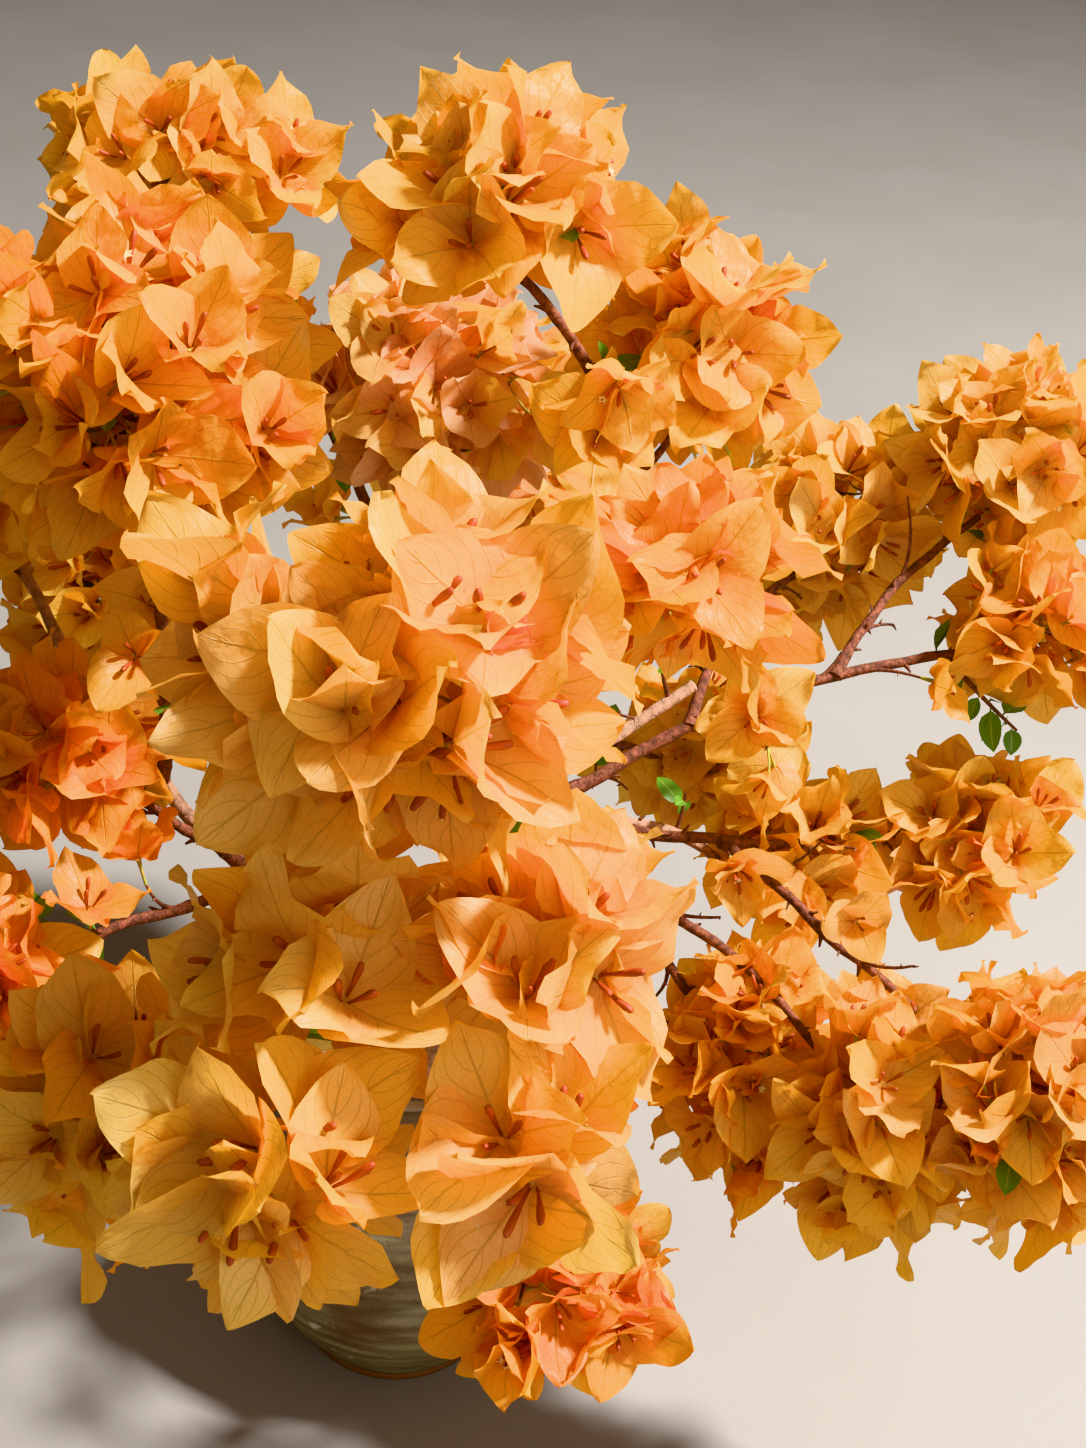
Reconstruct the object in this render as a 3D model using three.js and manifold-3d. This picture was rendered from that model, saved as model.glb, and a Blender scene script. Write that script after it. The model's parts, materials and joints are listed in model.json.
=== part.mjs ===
// A bougainvillea bush in full orange flower, growing in a round-bellied stoneware jar.
//
// Millimetres, +Z up. The origin lies under the middle of the jar, on the surface it stands on.
// +X is to the right and -Y is towards the front. A heading is an angle round the jar's axis,
// in degrees, counted anticlockwise from +X; a reach is a distance from that axis.

import * as THREE from "three";
import { mergeVertices } from "three/addons/utils/BufferGeometryUtils.js";
import Module from "manifold-3d";

const wasm = await Module();
wasm.setup();

// Jar
const jarHeight = 246;
const bellyRadius = 102.5;
const bellyHeight = 82;
const footRadius = 65;
const footHeight = 6;
const shoulderRadius = 76;
const shoulderHeight = 186;
const neckRadius = 54;
const neckHeight = 229;
const rimRadius = 58;
const rimRounding = 2.4;
const rimShoulderInset = 1.44;
const rimShoulderDrop = 0.72;
const wallThickness = 7;
const floorThickness = 10;
const jarSides = 30;
const jarOutsideCourses = 11;
const jarInsideCourses = 5;
const jarInsideSteps = 200;

// Potting soil
const soilBelowRim = 22;
const restingGap = 0.3;

// Trunk
const soilTop = jarHeight - soilBelowRim;
const trunkFoot = { x: 8, y: 14 };
const trunkTop = { x: 24, y: 22 };
const trunkLength = 104;
const trunkFootRadius = 10.5;
const trunkTopRadius = 8;
const trunkSway = 5;
const flareRadius = 8;
const flareHeight = 13;
const flareLobes = 5;
const flareLobeDepth = 0.22;
const trunkSides = 12;
const trunkFirstSide = 6;
const trunkCourses = 9;
const trunkCrowding = 1.6;

// Boughs
const boughSides = 6;
const boughCourseLength = 52;
const fewestBoughCourses = 3;
const boughSeatGap = 0.35;
const oldWoodRadius = 5;

// Sprays of blossom
const cloudFullness = 1.18;
const fullBract = 54;
const smallBract = 45;
const bractBreadth = 0.94;
const bractWidest = 0.46;
const bractCup = 0.1;
const bractSizes = [0.9, 1.04];
const bractsPerFlower = 3;
const shoulderTurn = 56;
const notchReach = 2.2;
const notchDrop = 0.4;
const throatDepth = 2.4;
const flowerHeart = 3;
const flowerOpening = [44, 64];
const flowerClosing = [1, 0.8, 0.6, 0.45];
const flowerTilt = 0.16;
const flowerSpacing = 0.64;
const flowerTries = 700;
const deepestFlower = 0.1;
const twigRootRadius = 1.7;
const twigTipRadius = 1.4;
const twigFeet = [0.3, 0.95];
const twigBend = 0.45;
const twigCourses = 2;
const stemTipRadius = 2.4;
const skyward = 0.35;
const keepClear = 0.6;
const hairsbreadth = 0.01;
const samePoint = 0.0001;

// Each spray is a cloud of blossom round its heart: where the heart is, and half the cloud's
// size outward from the jar's axis, across that, and upright.
const sprays = {
  top_centre: { heading: -18, reach: 26, height: 814, half: [76, 76, 58], flowers: 7, large: true },
  arch_right: { heading: 27, reach: 151, height: 706, half: [62, 62, 82], flowers: 7 },
  centre_right: { heading: -33, reach: 163, height: 656, half: [66, 62, 54], flowers: 6 },
  right_upper_near: { heading: 40, reach: 336, height: 552, half: [76, 70, 62], flowers: 7 },
  right_upper_far: { heading: 29, reach: 412, height: 608, half: [76, 76, 66], flowers: 8 },
  right_upper_low: { heading: 17, reach: 388, height: 536, half: [66, 66, 54], flowers: 6 },
  right_middle_near: { heading: 14, reach: 248, height: 384, half: [64, 62, 56], flowers: 6 },
  right_middle_far: { heading: 11, reach: 352, height: 402, half: [66, 64, 58], flowers: 7 },
  right_lower_near: { heading: -14, reach: 220, height: 296, half: [62, 62, 88], flowers: 8 },
  right_lower_middle: { heading: -20, reach: 309, height: 326, half: [62, 64, 88], flowers: 6 },
  right_lower_far: { heading: -19, reach: 385, height: 352, half: [66, 66, 88], flowers: 8 },
  upper_left: { heading: -157, reach: 158, height: 724, half: [94, 96, 84], flowers: 10, large: true },
  upper_left_back: { heading: 129, reach: 291, height: 744, half: [78, 92, 58], flowers: 8, large: true },
  left_far: { heading: 178, reach: 288, height: 632, half: [76, 78, 78], flowers: 7, large: true },
  left_middle: { heading: -153, reach: 212, height: 520, half: [66, 64, 56], flowers: 6 },
  left_back: { heading: 140, reach: 308, height: 455, half: [76, 78, 68], flowers: 7 },
  left_low: { heading: -140, reach: 294, height: 430, half: [60, 60, 64], flowers: 6 },
  lower_left: { heading: -115, reach: 296, height: 422, half: [62, 66, 84], flowers: 8 },
  near_centre: { heading: -88, reach: 286, height: 704, half: [80, 96, 86], flowers: 11, large: true },
  lower_centre_left: { heading: -93, reach: 328, height: 570, half: [62, 68, 62], flowers: 6 },
  lower_centre_right: { heading: -77, reach: 322, height: 578, half: [64, 68, 64], flowers: 6 },
  lower_front_left: { heading: -93, reach: 384, height: 518, half: [62, 76, 52], flowers: 6 },
  lower_front_right: { heading: -79, reach: 382, height: 524, half: [62, 68, 56], flowers: 5 },
  low_front: { heading: -59, reach: 222, height: 248, half: [60, 80, 50], flowers: 6 },
  back_top: { heading: 95, reach: 150, height: 642, half: [74, 86, 70], flowers: 8, large: true },
  back: { heading: 84, reach: 332, height: 500, half: [80, 94, 80], flowers: 8, large: true },
  right_back_low: { heading: 55, reach: 340, height: 322, half: [66, 70, 66], flowers: 6 },
};

// Each bough springs from its parent at a fraction of the parent's length and runs to a spray,
// or to a bare end of its own. Its radii are those of its root and its tip. Its rise is how far it
// bows upwards, and its swing how far it bows to the left as seen from its root, as shares of its
// length.
const boughs = {
  right_limb: {
    from: "trunk", at: 1, to: "right_middle_near",
    radii: [6.4, 3], rise: 0.36, swing: 0.05,
  },
  arch_lower: {
    from: "right_limb", at: 0.42, end: { heading: 20, reach: 97, height: 645 },
    radii: [5.2, 4], rise: 0.02, swing: -0.16,
  },
  arch_upper: {
    from: "arch_lower", at: 1, to: "top_centre",
    radii: [4, 2.6], rise: 0.12, swing: 0.06,
  },
  pruned_stub: {
    from: "arch_lower", at: 0.3, end: { heading: 20, reach: 168, height: 503 },
    radii: [4.2, 3.6], rise: 0, swing: 0,
  },
  bough_arch_right: {
    from: "arch_lower", at: 0.78, to: "arch_right",
    radii: [3.2, 2.6], rise: 0.05, swing: 0.1,
  },
  bough_centre_right: {
    from: "arch_lower", at: 0.42, to: "centre_right",
    radii: [3.4, 2.6], rise: 0.02, swing: -0.1,
  },
  bough_right_upper: {
    from: "arch_lower", at: 0.2, to: "right_upper_low",
    radii: [4.4, 2.8], rise: 0.04, swing: 0.04,
  },
  bough_right_upper_near: {
    from: "bough_right_upper", at: 0.34, to: "right_upper_near",
    radii: [3.4, 2.6], rise: 0.06, swing: 0.08,
  },
  bough_right_upper_far: {
    from: "bough_right_upper", at: 0.7, to: "right_upper_far",
    radii: [3.2, 2.6], rise: 0.02, swing: 0.06,
  },
  bough_right_middle: {
    from: "right_limb", at: 0.62, to: "right_middle_far",
    radii: [4, 2.6], rise: 0.02, swing: -0.1,
  },
  bough_right_lower: {
    from: "right_limb", at: 0.5, to: "right_lower_near",
    radii: [4.2, 2.8], rise: 0.1, swing: -0.04,
  },
  bough_right_lower_middle: {
    from: "bough_right_lower", at: 0.45, to: "right_lower_middle",
    radii: [3.4, 2.6], rise: 0.1, swing: 0.02,
  },
  bough_right_lower_far: {
    from: "bough_right_middle", at: 0.4, to: "right_lower_far",
    radii: [3.4, 2.6], rise: 0.08, swing: -0.08,
  },
  left_limb: { from: "trunk", at: 0.84, to: "left_far", radii: [6, 3], rise: -0.02, swing: 0.22 },
  bough_upper_left: {
    from: "left_limb", at: 0.64, to: "upper_left",
    radii: [4, 3], rise: 0, swing: 0.1,
  },
  bough_left_middle: {
    from: "left_limb", at: 0.46, to: "left_middle",
    radii: [3.4, 2.6], rise: 0.05, swing: 0.06,
  },
  bough_left_low: {
    from: "left_limb", at: 0.38, to: "left_low",
    radii: [3.8, 2.6], rise: 0.1, swing: 0.05,
  },
  bough_lower_left: {
    from: "left_limb", at: 0.24, to: "lower_left",
    radii: [3.6, 2.6], rise: 0.14, swing: 0.05,
  },
  front_limb: {
    from: "trunk", at: 0.93, to: "near_centre",
    radii: [5.6, 3.2], rise: 0.06, swing: 0.02,
  },
  bough_lower_centre_left: {
    from: "front_limb", at: 0.5, to: "lower_centre_left",
    radii: [3.4, 2.6], rise: 0.04, swing: -0.05,
  },
  bough_lower_centre_right: {
    from: "front_limb", at: 0.6, to: "lower_centre_right",
    radii: [3.4, 2.6], rise: 0.04, swing: 0.06,
  },
  bough_lower_front_left: {
    from: "front_limb", at: 0.28, to: "lower_front_left",
    radii: [3.8, 2.6], rise: -0.04, swing: -0.03,
  },
  bough_lower_front_right: {
    from: "front_limb", at: 0.36, to: "lower_front_right",
    radii: [3.8, 2.6], rise: -0.04, swing: 0.05,
  },
  bough_low_front: {
    from: "trunk", at: 0.66, to: "low_front",
    radii: [3.8, 2.4], rise: 0.34, swing: -0.05,
  },
  back_limb: { from: "trunk", at: 0.75, to: "back", radii: [5.8, 3], rise: 0.12, swing: 0.02 },
  bough_back_top: {
    from: "back_limb", at: 0.4, to: "back_top",
    radii: [3.6, 2.8], rise: 0.02, swing: -0.06,
  },
  bough_upper_left_back: {
    from: "back_limb", at: 0.52, to: "upper_left_back",
    radii: [4, 2.8], rise: 0.08, swing: 0.04,
  },
  bough_left_back: {
    from: "back_limb", at: 0.26, to: "left_back",
    radii: [3.8, 2.8], rise: 0.1, swing: 0.08,
  },
  bough_right_back_low: {
    from: "back_limb", at: 0.34, to: "right_back_low",
    radii: [3.8, 2.8], rise: 0.12, swing: -0.05,
  },
};

// The share of a cloud's half size at which its bough stops and its stem takes over.
const sprayDoor = 0.72;

// Colours from the plant and the jar
const stonewareColour = 0x6f6a4e;
const soilColour = 0x4a3327;
const oldWoodColour = 0xa08a74;
const youngWoodColour = 0x7a4c3a;
const bractColours = [0xe59a33, 0xe8a84a, 0xdf8426, 0xe9b77c];
const deepBractColour = 0xd9641f;
const deepSprays = ["low_front", "left_middle", "left_low"];
const glazeRoughness = 0.62;
const soilRoughness = 0.95;
const barkRoughness = 0.8;
const bractRoughness = 0.7;

const up = new THREE.Vector3(0, 0, 1);

// One seeded row of numbers from 0 to 1
function seededRow(seed) {
  let state = seed >>> 0;
  return () => {
    state = (state + 0x6d2b79f5) >>> 0;
    let mixed = Math.imul(state ^ (state >>> 15), state | 1);
    mixed = (mixed + Math.imul(mixed ^ (mixed >>> 7), mixed | 61)) ^ mixed;
    return ((mixed ^ (mixed >>> 14)) >>> 0) / 4294967296;
  };
}

function placeAt({ heading, reach, height }) {
  const turn = THREE.MathUtils.degToRad(heading);
  return new THREE.Vector3(reach * Math.cos(turn), reach * Math.sin(turn), height);
}

// Geometry to solid and back
function toSolid(geometry) {
  const bare = geometry.clone();
  bare.deleteAttribute("normal");
  bare.deleteAttribute("uv");
  const merged = mergeVertices(bare, samePoint);
  return new wasm.Manifold(new wasm.Mesh({
    numProp: 3,
    vertProperties: new Float32Array(merged.attributes.position.array),
    triVerts: new Uint32Array(merged.index.array),
  }));
}

// The solid's own mesh, with corners that lie within a hair of each other made one
function toGeometry(solid) {
  const mesh = solid.getMesh();
  const cut = new THREE.BufferGeometry();
  cut.setAttribute("position", new THREE.BufferAttribute(mesh.vertProperties, 3));
  cut.setIndex(new THREE.BufferAttribute(mesh.triVerts, 1));
  const geometry = mergeVertices(cut, hairsbreadth);
  const corners = Array.from(geometry.index.array);
  const faces = [];
  for (let corner = 0; corner < corners.length; corner += 3) {
    const face = corners.slice(corner, corner + 3);
    if (new Set(face).size === 3) faces.push(...face);
  }
  geometry.setIndex(faces);
  geometry.computeVertexNormals();
  return geometry;
}

function largestBody(solid) {
  return solid.decompose().reduce((a, b) => (a.volume() >= b.volume() ? a : b));
}

function joinAll(solids) {
  let row = solids;
  while (row.length > 1) {
    const next = [];
    for (let i = 0; i < row.length; i += 2) {
      next.push(i + 1 < row.length ? row[i].add(row[i + 1]) : row[i]);
    }
    row = next;
  }
  return row[0];
}

// Faces between a row of rings that all have the same number of points, closed at the first ring
function facesOverRings(ringCount, sides) {
  const faces = [];
  for (let ring = 0; ring + 1 < ringCount; ring += 1) {
    for (let side = 0; side < sides; side += 1) {
      const next = (side + 1) % sides;
      const a = ring * sides + side;
      const b = ring * sides + next;
      faces.push(a, b, b + sides, a, b + sides, a + sides);
    }
  }
  for (let side = 1; side + 1 < sides; side += 1) faces.push(0, side + 1, side);
  return faces;
}

function geometryFrom(points, faces) {
  const numbers = points.flatMap((point) => [point.x, point.y, point.z]);
  const geometry = new THREE.BufferGeometry();
  geometry.setAttribute("position", new THREE.Float32BufferAttribute(numbers, 3));
  geometry.setIndex(faces);
  return geometry;
}

function skinOverRings(rings) {
  const sides = rings[0].length;
  const faces = facesOverRings(rings.length, sides);
  const last = (rings.length - 1) * sides;
  for (let side = 1; side + 1 < sides; side += 1) faces.push(last, last + side, last + side + 1);
  return geometryFrom(rings.flat(), faces);
}

// The rings of a tapering round limb along a curve
function limbRings({ curve, radii, sides, courses }, extra = 0) {
  const frames = curve.computeFrenetFrames(courses, false);
  const rings = [];
  for (let course = 0; course <= courses; course += 1) {
    const share = course / courses;
    const middle = curve.getPoint(share);
    const radius = THREE.MathUtils.lerp(radii[0], radii[1], share) + extra;
    const ring = [];
    for (let side = 0; side < sides; side += 1) {
      const turn = (side / sides) * Math.PI * 2;
      ring.push(middle.clone()
        .addScaledVector(frames.normals[course], radius * Math.cos(turn))
        .addScaledVector(frames.binormals[course], radius * Math.sin(turn)));
    }
    rings.push(ring);
  }
  return rings;
}

// A limb, fatter by extra where it serves to cut or to keep others clear
function limbGeometry(limb, extra) {
  return skinOverRings(limbRings(limb, extra));
}

// Jar: a smooth outline turned on its axis, with an even wall
function jarOutline() {
  return new THREE.SplineCurve([
    new THREE.Vector2(footRadius, footHeight),
    new THREE.Vector2(bellyRadius, bellyHeight),
    new THREE.Vector2(shoulderRadius, shoulderHeight),
    new THREE.Vector2(neckRadius, neckHeight),
    new THREE.Vector2(rimRadius, jarHeight - rimRounding),
  ]);
}

function jarInside(share) {
  const outline = jarOutline();
  const point = outline.getPoint(share);
  const along = outline.getTangent(share);
  return new THREE.Vector2(point.x - along.y * wallThickness, point.y + along.x * wallThickness);
}

function jarInsideRadius(height) {
  let nearest = jarInside(0);
  for (let step = 1; step <= jarInsideSteps; step += 1) {
    const point = jarInside(step / jarInsideSteps);
    if (Math.abs(point.y - height) < Math.abs(nearest.y - height)) nearest = point;
  }
  return nearest.x;
}

// The inside wall's points, from the floor of the jar up to the rim
function jarInsidePoints(lowest, highest, courses) {
  const points = [];
  for (let course = 0; course <= courses; course += 1) {
    const height = THREE.MathUtils.lerp(lowest, highest, course / courses);
    points.push(new THREE.Vector2(jarInsideRadius(height), height));
  }
  return points;
}

function jarGeometry() {
  const outside = jarOutline().getSpacedPoints(jarOutsideCourses);
  const inside = jarInsidePoints(floorThickness, jarHeight - rimRounding, jarInsideCourses);
  const rimMiddle = (rimRadius + inside[inside.length - 1].x) / 2;
  const profile = [
    new THREE.Vector2(0, 0),
    new THREE.Vector2(footRadius, 0),
    ...outside,
    new THREE.Vector2(rimRadius - rimShoulderInset, jarHeight - rimShoulderDrop),
    new THREE.Vector2(rimMiddle, jarHeight),
    ...inside.reverse(),
    new THREE.Vector2(0, floorThickness),
  ];
  return new THREE.LatheGeometry(profile, jarSides).rotateX(Math.PI / 2);
}

function soilGeometry() {
  const edge = jarInsidePoints(floorThickness, jarHeight - rimRounding, jarInsideCourses);
  const wall = [];
  const lowest = floorThickness + restingGap;
  wall.push(new THREE.Vector2(edge[0].x - restingGap * 2, lowest));
  for (const point of edge.slice(1)) {
    if (point.y < soilTop) wall.push(new THREE.Vector2(point.x - restingGap * 2, point.y));
  }
  const above = edge.find((point) => point.y >= soilTop);
  const below = edge[edge.indexOf(above) - 1];
  const share = (soilTop - below.y) / (above.y - below.y);
  const topRadius = THREE.MathUtils.lerp(below.x, above.x, share) - restingGap * 2;
  const profile = [
    new THREE.Vector2(0, lowest),
    ...wall,
    new THREE.Vector2(topRadius, soilTop),
    new THREE.Vector2(0, soilTop),
  ];
  return new THREE.LatheGeometry(profile, jarSides).rotateX(Math.PI / 2);
}

// Trunk: level rings up a leaning line, the lowest drawn out into root lobes
function trunkCurve() {
  const foot = new THREE.Vector3(trunkFoot.x, trunkFoot.y, soilTop + restingGap);
  const top = new THREE.Vector3(trunkTop.x, trunkTop.y, foot.z + trunkLength);
  const middle = foot.clone().lerp(top, 0.5).add(new THREE.Vector3(-trunkSway, trunkSway, 0));
  return new THREE.QuadraticBezierCurve3(foot, middle, top);
}

function trunkGeometry(extra = 0) {
  const curve = trunkCurve();
  const rings = [];
  for (let course = 0; course <= trunkCourses; course += 1) {
    const share = (course / trunkCourses) ** trunkCrowding;
    const middle = curve.getPoint(share);
    const flare = flareRadius * Math.exp(-(middle.z - soilTop) / flareHeight);
    const plain = THREE.MathUtils.lerp(trunkFootRadius, trunkTopRadius, share) + extra;
    const ring = [];
    for (let side = 0; side < trunkSides; side += 1) {
      const turn = ((side + trunkFirstSide) / trunkSides) * Math.PI * 2;
      const lobe = 1 + flareLobeDepth * Math.cos(flareLobes * turn) * (flare / flareRadius);
      const radius = (plain + flare) * lobe;
      ring.push(new THREE.Vector3(
        middle.x + radius * Math.cos(turn),
        middle.y + radius * Math.sin(turn),
        middle.z,
      ));
    }
    rings.push(ring);
  }
  return skinOverRings(rings);
}

// The cloud of blossom: how far it reaches from its heart in a direction, and what lies inside it
function cloudFrame(spray) {
  const turn = THREE.MathUtils.degToRad(spray.heading);
  const outward = new THREE.Vector3(Math.cos(turn), Math.sin(turn), 0);
  const across = new THREE.Vector3(-Math.sin(turn), Math.cos(turn), 0);
  return { heart: placeAt(spray), outward, across };
}

function inCloudSizes(spray, vector) {
  const { outward, across } = cloudFrame(spray);
  return Math.hypot(
    vector.dot(outward) / spray.half[0],
    vector.dot(across) / spray.half[1],
    vector.z / spray.half[2],
  ) / cloudFullness;
}

function cloudReach(spray, direction) {
  return 1 / inCloudSizes(spray, direction);
}

// The planes that part a cloud from the clouds round it, each in proportion to their sizes
function partingPlanes(name) {
  const spray = sprays[name];
  const heart = placeAt(spray);
  const planes = [];
  for (const [otherName, other] of Object.entries(sprays)) {
    const between = placeAt(other).sub(heart);
    const distance = between.length();
    const mostTogether = (Math.max(...spray.half) + Math.max(...other.half)) * cloudFullness;
    if (otherName !== name && distance < mostTogether) {
      const direction = between.divideScalar(distance);
      const own = cloudReach(spray, direction);
      const theirs = cloudReach(other, direction);
      planes.push({ direction, limit: (distance * own) / (own + theirs) - restingGap });
    }
  }
  return planes;
}

function keepsToCloud(name, planes, points) {
  const spray = sprays[name];
  const heart = placeAt(spray);
  return points.every((point) => {
    const offset = point.clone().sub(heart);
    return inCloudSizes(spray, offset) <= 1
      && planes.every(({ direction, limit }) => offset.dot(direction) < limit);
  });
}

// Boughs: a curve from the parent to where the spray's cloud takes over
function boughCurve(bough, parentCurve) {
  const continues = bough.at === 1;
  const heading = parentCurve.getTangent(bough.at);
  const start = parentCurve.getPoint(bough.at);
  if (continues) start.addScaledVector(heading, restingGap);
  let end;
  if (bough.to) {
    const heart = placeAt(sprays[bough.to]);
    const inward = heart.clone().sub(start).normalize();
    end = heart.addScaledVector(inward, -sprayDoor * cloudReach(sprays[bough.to], inward));
  } else {
    end = placeAt(bough.end);
  }
  const chord = end.clone().sub(start);
  const left = new THREE.Vector3().crossVectors(up, chord).normalize();
  const bulge = left.multiplyScalar(bough.swing).addScaledVector(up, bough.rise);
  bulge.multiplyScalar((chord.length() * 4) / 3);
  const second = start.clone().addScaledVector(chord, 2 / 3).add(bulge);
  const first = continues
    ? start.clone().addScaledVector(heading, chord.length() / 3)
    : start.clone().addScaledVector(chord, 1 / 3).add(bulge);
  return new THREE.CubicBezierCurve3(start, first, second, end);
}

function growBoughs() {
  const limbs = { trunk: { curve: trunkCurve(), geometry: trunkGeometry } };
  for (const [name, bough] of Object.entries(boughs)) {
    const curve = boughCurve(bough, limbs[bough.from].curve);
    const courses = Math.max(fewestBoughCourses, Math.round(curve.getLength() / boughCourseLength));
    const shape = { curve, radii: bough.radii, sides: boughSides, courses };
    limbs[name] = { curve, geometry: (extra) => limbGeometry(shape, extra) };
  }
  const grown = [];
  for (const [name, limb] of Object.entries(limbs)) {
    limb.solid = toSolid(limb.geometry(0));
    limb.cutter = toSolid(limb.geometry(boughSeatGap));
    for (const earlier of grown) limb.solid = limb.solid.subtract(earlier.cutter);
    if (name !== "trunk") limb.solid = largestBody(limb.solid);
    grown.push(limb);
  }
  return limbs;
}

// Sprays: a stem that goes on from the bough's tip to the heart of the cloud, twigs that leave
// it at even steps, and a flower of papery bracts on each twig
function stemCurve(name, tipCurve) {
  const heading = tipCurve.getTangent(1);
  const start = tipCurve.getPoint(1).addScaledVector(heading, restingGap);
  const heart = placeAt(sprays[name]);
  const half = start.distanceTo(heart) / 2;
  return new THREE.QuadraticBezierCurve3(start, start.clone().addScaledVector(heading, half), heart);
}

// How far a bract's shoulders are lifted towards the axis, as a share of its length. They are cupped
// in an open flower, and bent outwards in a half-closed one, where each bract keeps to its own third.
function shoulderLift(angle) {
  const leastReach = bractBreadth / 2 / Math.tan(THREE.MathUtils.degToRad(shoulderTurn));
  const room = (bractWidest * Math.sin(angle) - leastReach) / Math.cos(angle);
  return Math.min(bractCup, room);
}

// The edge of a flower of three bracts, which open over the three corners of its twig's tip:
// each bract has a notch on either side of it, two wide shoulders and a point
function flowerOutline(tipRing, end, axis, opening, size, random) {
  const outline = [];
  for (const corner of tipRing) {
    const spread = corner.clone().sub(end);
    spread.addScaledVector(axis, -spread.dot(axis)).normalize();
    const length = size * THREE.MathUtils.lerp(...bractSizes, random());
    const angle = opening * (1 + flowerTilt * (2 * random() - 1));
    const along = axis.clone().multiplyScalar(Math.cos(angle)).addScaledVector(spread, Math.sin(angle));
    const side = new THREE.Vector3().crossVectors(axis, spread);
    const inward = axis.clone().addScaledVector(along, -axis.dot(along)).normalize();
    const notch = spread.clone().applyAxisAngle(axis, -Math.PI / bractsPerFlower);
    const lift = shoulderLift(angle);
    const shoulder = (aside) => end.clone()
      .addScaledVector(along, length * bractWidest)
      .addScaledVector(side, length * aside)
      .addScaledVector(inward, length * lift);
    outline.push(
      end.clone().addScaledVector(notch, notchReach).addScaledVector(axis, -notchDrop),
      shoulder(-bractBreadth / 2),
      end.clone().addScaledVector(along, length),
      shoulder(bractBreadth / 2),
    );
  }
  return outline;
}

// A twig that widens into its flower, as one closed skin: each bract is a thin blade keeled along
// its middle, from the throat in front and from a corner of the twig's tip behind
function floweringTwig(rings, outline, throat) {
  const points = [...rings.flat(), ...outline, throat];
  const faces = facesOverRings(rings.length, bractsPerFlower);
  const lastRing = (rings.length - 1) * bractsPerFlower;
  const firstEdge = rings.length * bractsPerFlower;
  const cornersPerBract = outline.length / bractsPerFlower;
  for (let corner = 0; corner < outline.length; corner += 1) {
    const bract = Math.floor(corner / cornersPerBract);
    const here = firstEdge + corner;
    const next = firstEdge + ((corner + 1) % outline.length);
    faces.push(here, next, points.length - 1);
    faces.push(next, here, lastRing + bract);
    if ((corner + 1) % cornersPerBract === 0) {
      faces.push(lastRing + bract, lastRing + ((bract + 1) % bractsPerFlower), next);
    }
  }
  return geometryFrom(points, faces);
}

function touches(solid, obstacles) {
  return obstacles.some((obstacle) => !solid.intersect(obstacle).isEmpty());
}

function randomDirection(random) {
  const height = 2 * random() - 1;
  const level = Math.sqrt(1 - height * height);
  const angle = random() * Math.PI * 2;
  return new THREE.Vector3(level * Math.cos(angle), level * Math.sin(angle), height);
}

// How far out from the heart a flower sits, so that its open bracts reach the edge of the cloud
function flowerSeat(spray, direction, opening, size) {
  const reach = cloudReach(spray, direction);
  const aside = size * Math.sin(opening);
  const ahead = size * Math.cos(opening);
  return Math.max(Math.sqrt(Math.max(reach * reach - aside * aside, 0)) - ahead, deepestFlower * reach);
}

// Where a twig leaves the stem, further along it for a flower that lies further on
function twigFoot(stem, direction) {
  const share = (direction.dot(stem.getTangent(1)) + 1) / 2;
  return stem.getPoint(THREE.MathUtils.lerp(...twigFeet, share));
}

// A twig's rings, from its foot to its tip, which points along the flower's axis
function twigRings(foot, end, axis) {
  const tip = end.clone().addScaledVector(axis, -throatDepth);
  const bend = tip.clone().addScaledVector(axis, -foot.distanceTo(tip) * twigBend);
  const curve = new THREE.QuadraticBezierCurve3(foot, bend, tip);
  const radii = [twigRootRadius, twigTipRadius];
  return limbRings({ curve, radii, sides: bractsPerFlower, courses: twigCourses });
}

function growSpray(name, seed, stem, stemRadii, obstacles) {
  const random = seededRow(seed);
  const spray = sprays[name];
  const size = spray.large ? fullBract : smallBract;
  const planes = partingPlanes(name);
  const heart = placeAt(spray);
  const stemLimb = { curve: stem, radii: stemRadii, sides: boughSides, courses: twigCourses };
  const solids = [toSolid(limbGeometry(stemLimb))];
  const seats = [];
  const crowns = [];
  for (let attempt = 0; attempt < flowerTries && seats.length < spray.flowers; attempt += 1) {
    const direction = randomDirection(random);
    const axis = direction.clone().addScaledVector(up, skyward).normalize();
    const widest = THREE.MathUtils.degToRad(THREE.MathUtils.lerp(...flowerOpening, random()));
    for (const closing of flowerClosing) {
      const opening = widest * closing;
      const end = heart.clone().addScaledVector(direction, flowerSeat(spray, direction, opening, size));
      if (seats.some((other) => other.distanceTo(end) < flowerSpacing * size)) continue;
      const foot = twigFoot(stem, direction);
      const ahead = foot.clone().sub(end).dot(axis);
      if (ahead > 0) continue;
      const rings = twigRings(foot, end, axis);
      const outline = flowerOutline(rings[rings.length - 1], end, axis, opening, size, random);
      if (!keepsToCloud(name, planes, [...rings.flat(), ...outline])) continue;
      const throat = end.clone().addScaledVector(axis, flowerHeart - throatDepth);
      const solid = toSolid(floweringTwig(rings, outline, throat));
      const crown = toSolid(floweringTwig(rings.slice(1), outline, throat));
      if (!touches(solid, obstacles) && !touches(crown, crowns)) {
        solids.push(solid);
        crowns.push(crown);
        seats.push(end);
        break;
      }
    }
  }
  return largestBody(joinAll(solids));
}

function paint(colour, roughness) {
  return new THREE.MeshStandardMaterial({ color: colour, roughness, metalness: 0 });
}

function namedMesh(name, geometry, material) {
  const mesh = new THREE.Mesh(geometry, material);
  mesh.name = name;
  return mesh;
}

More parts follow.
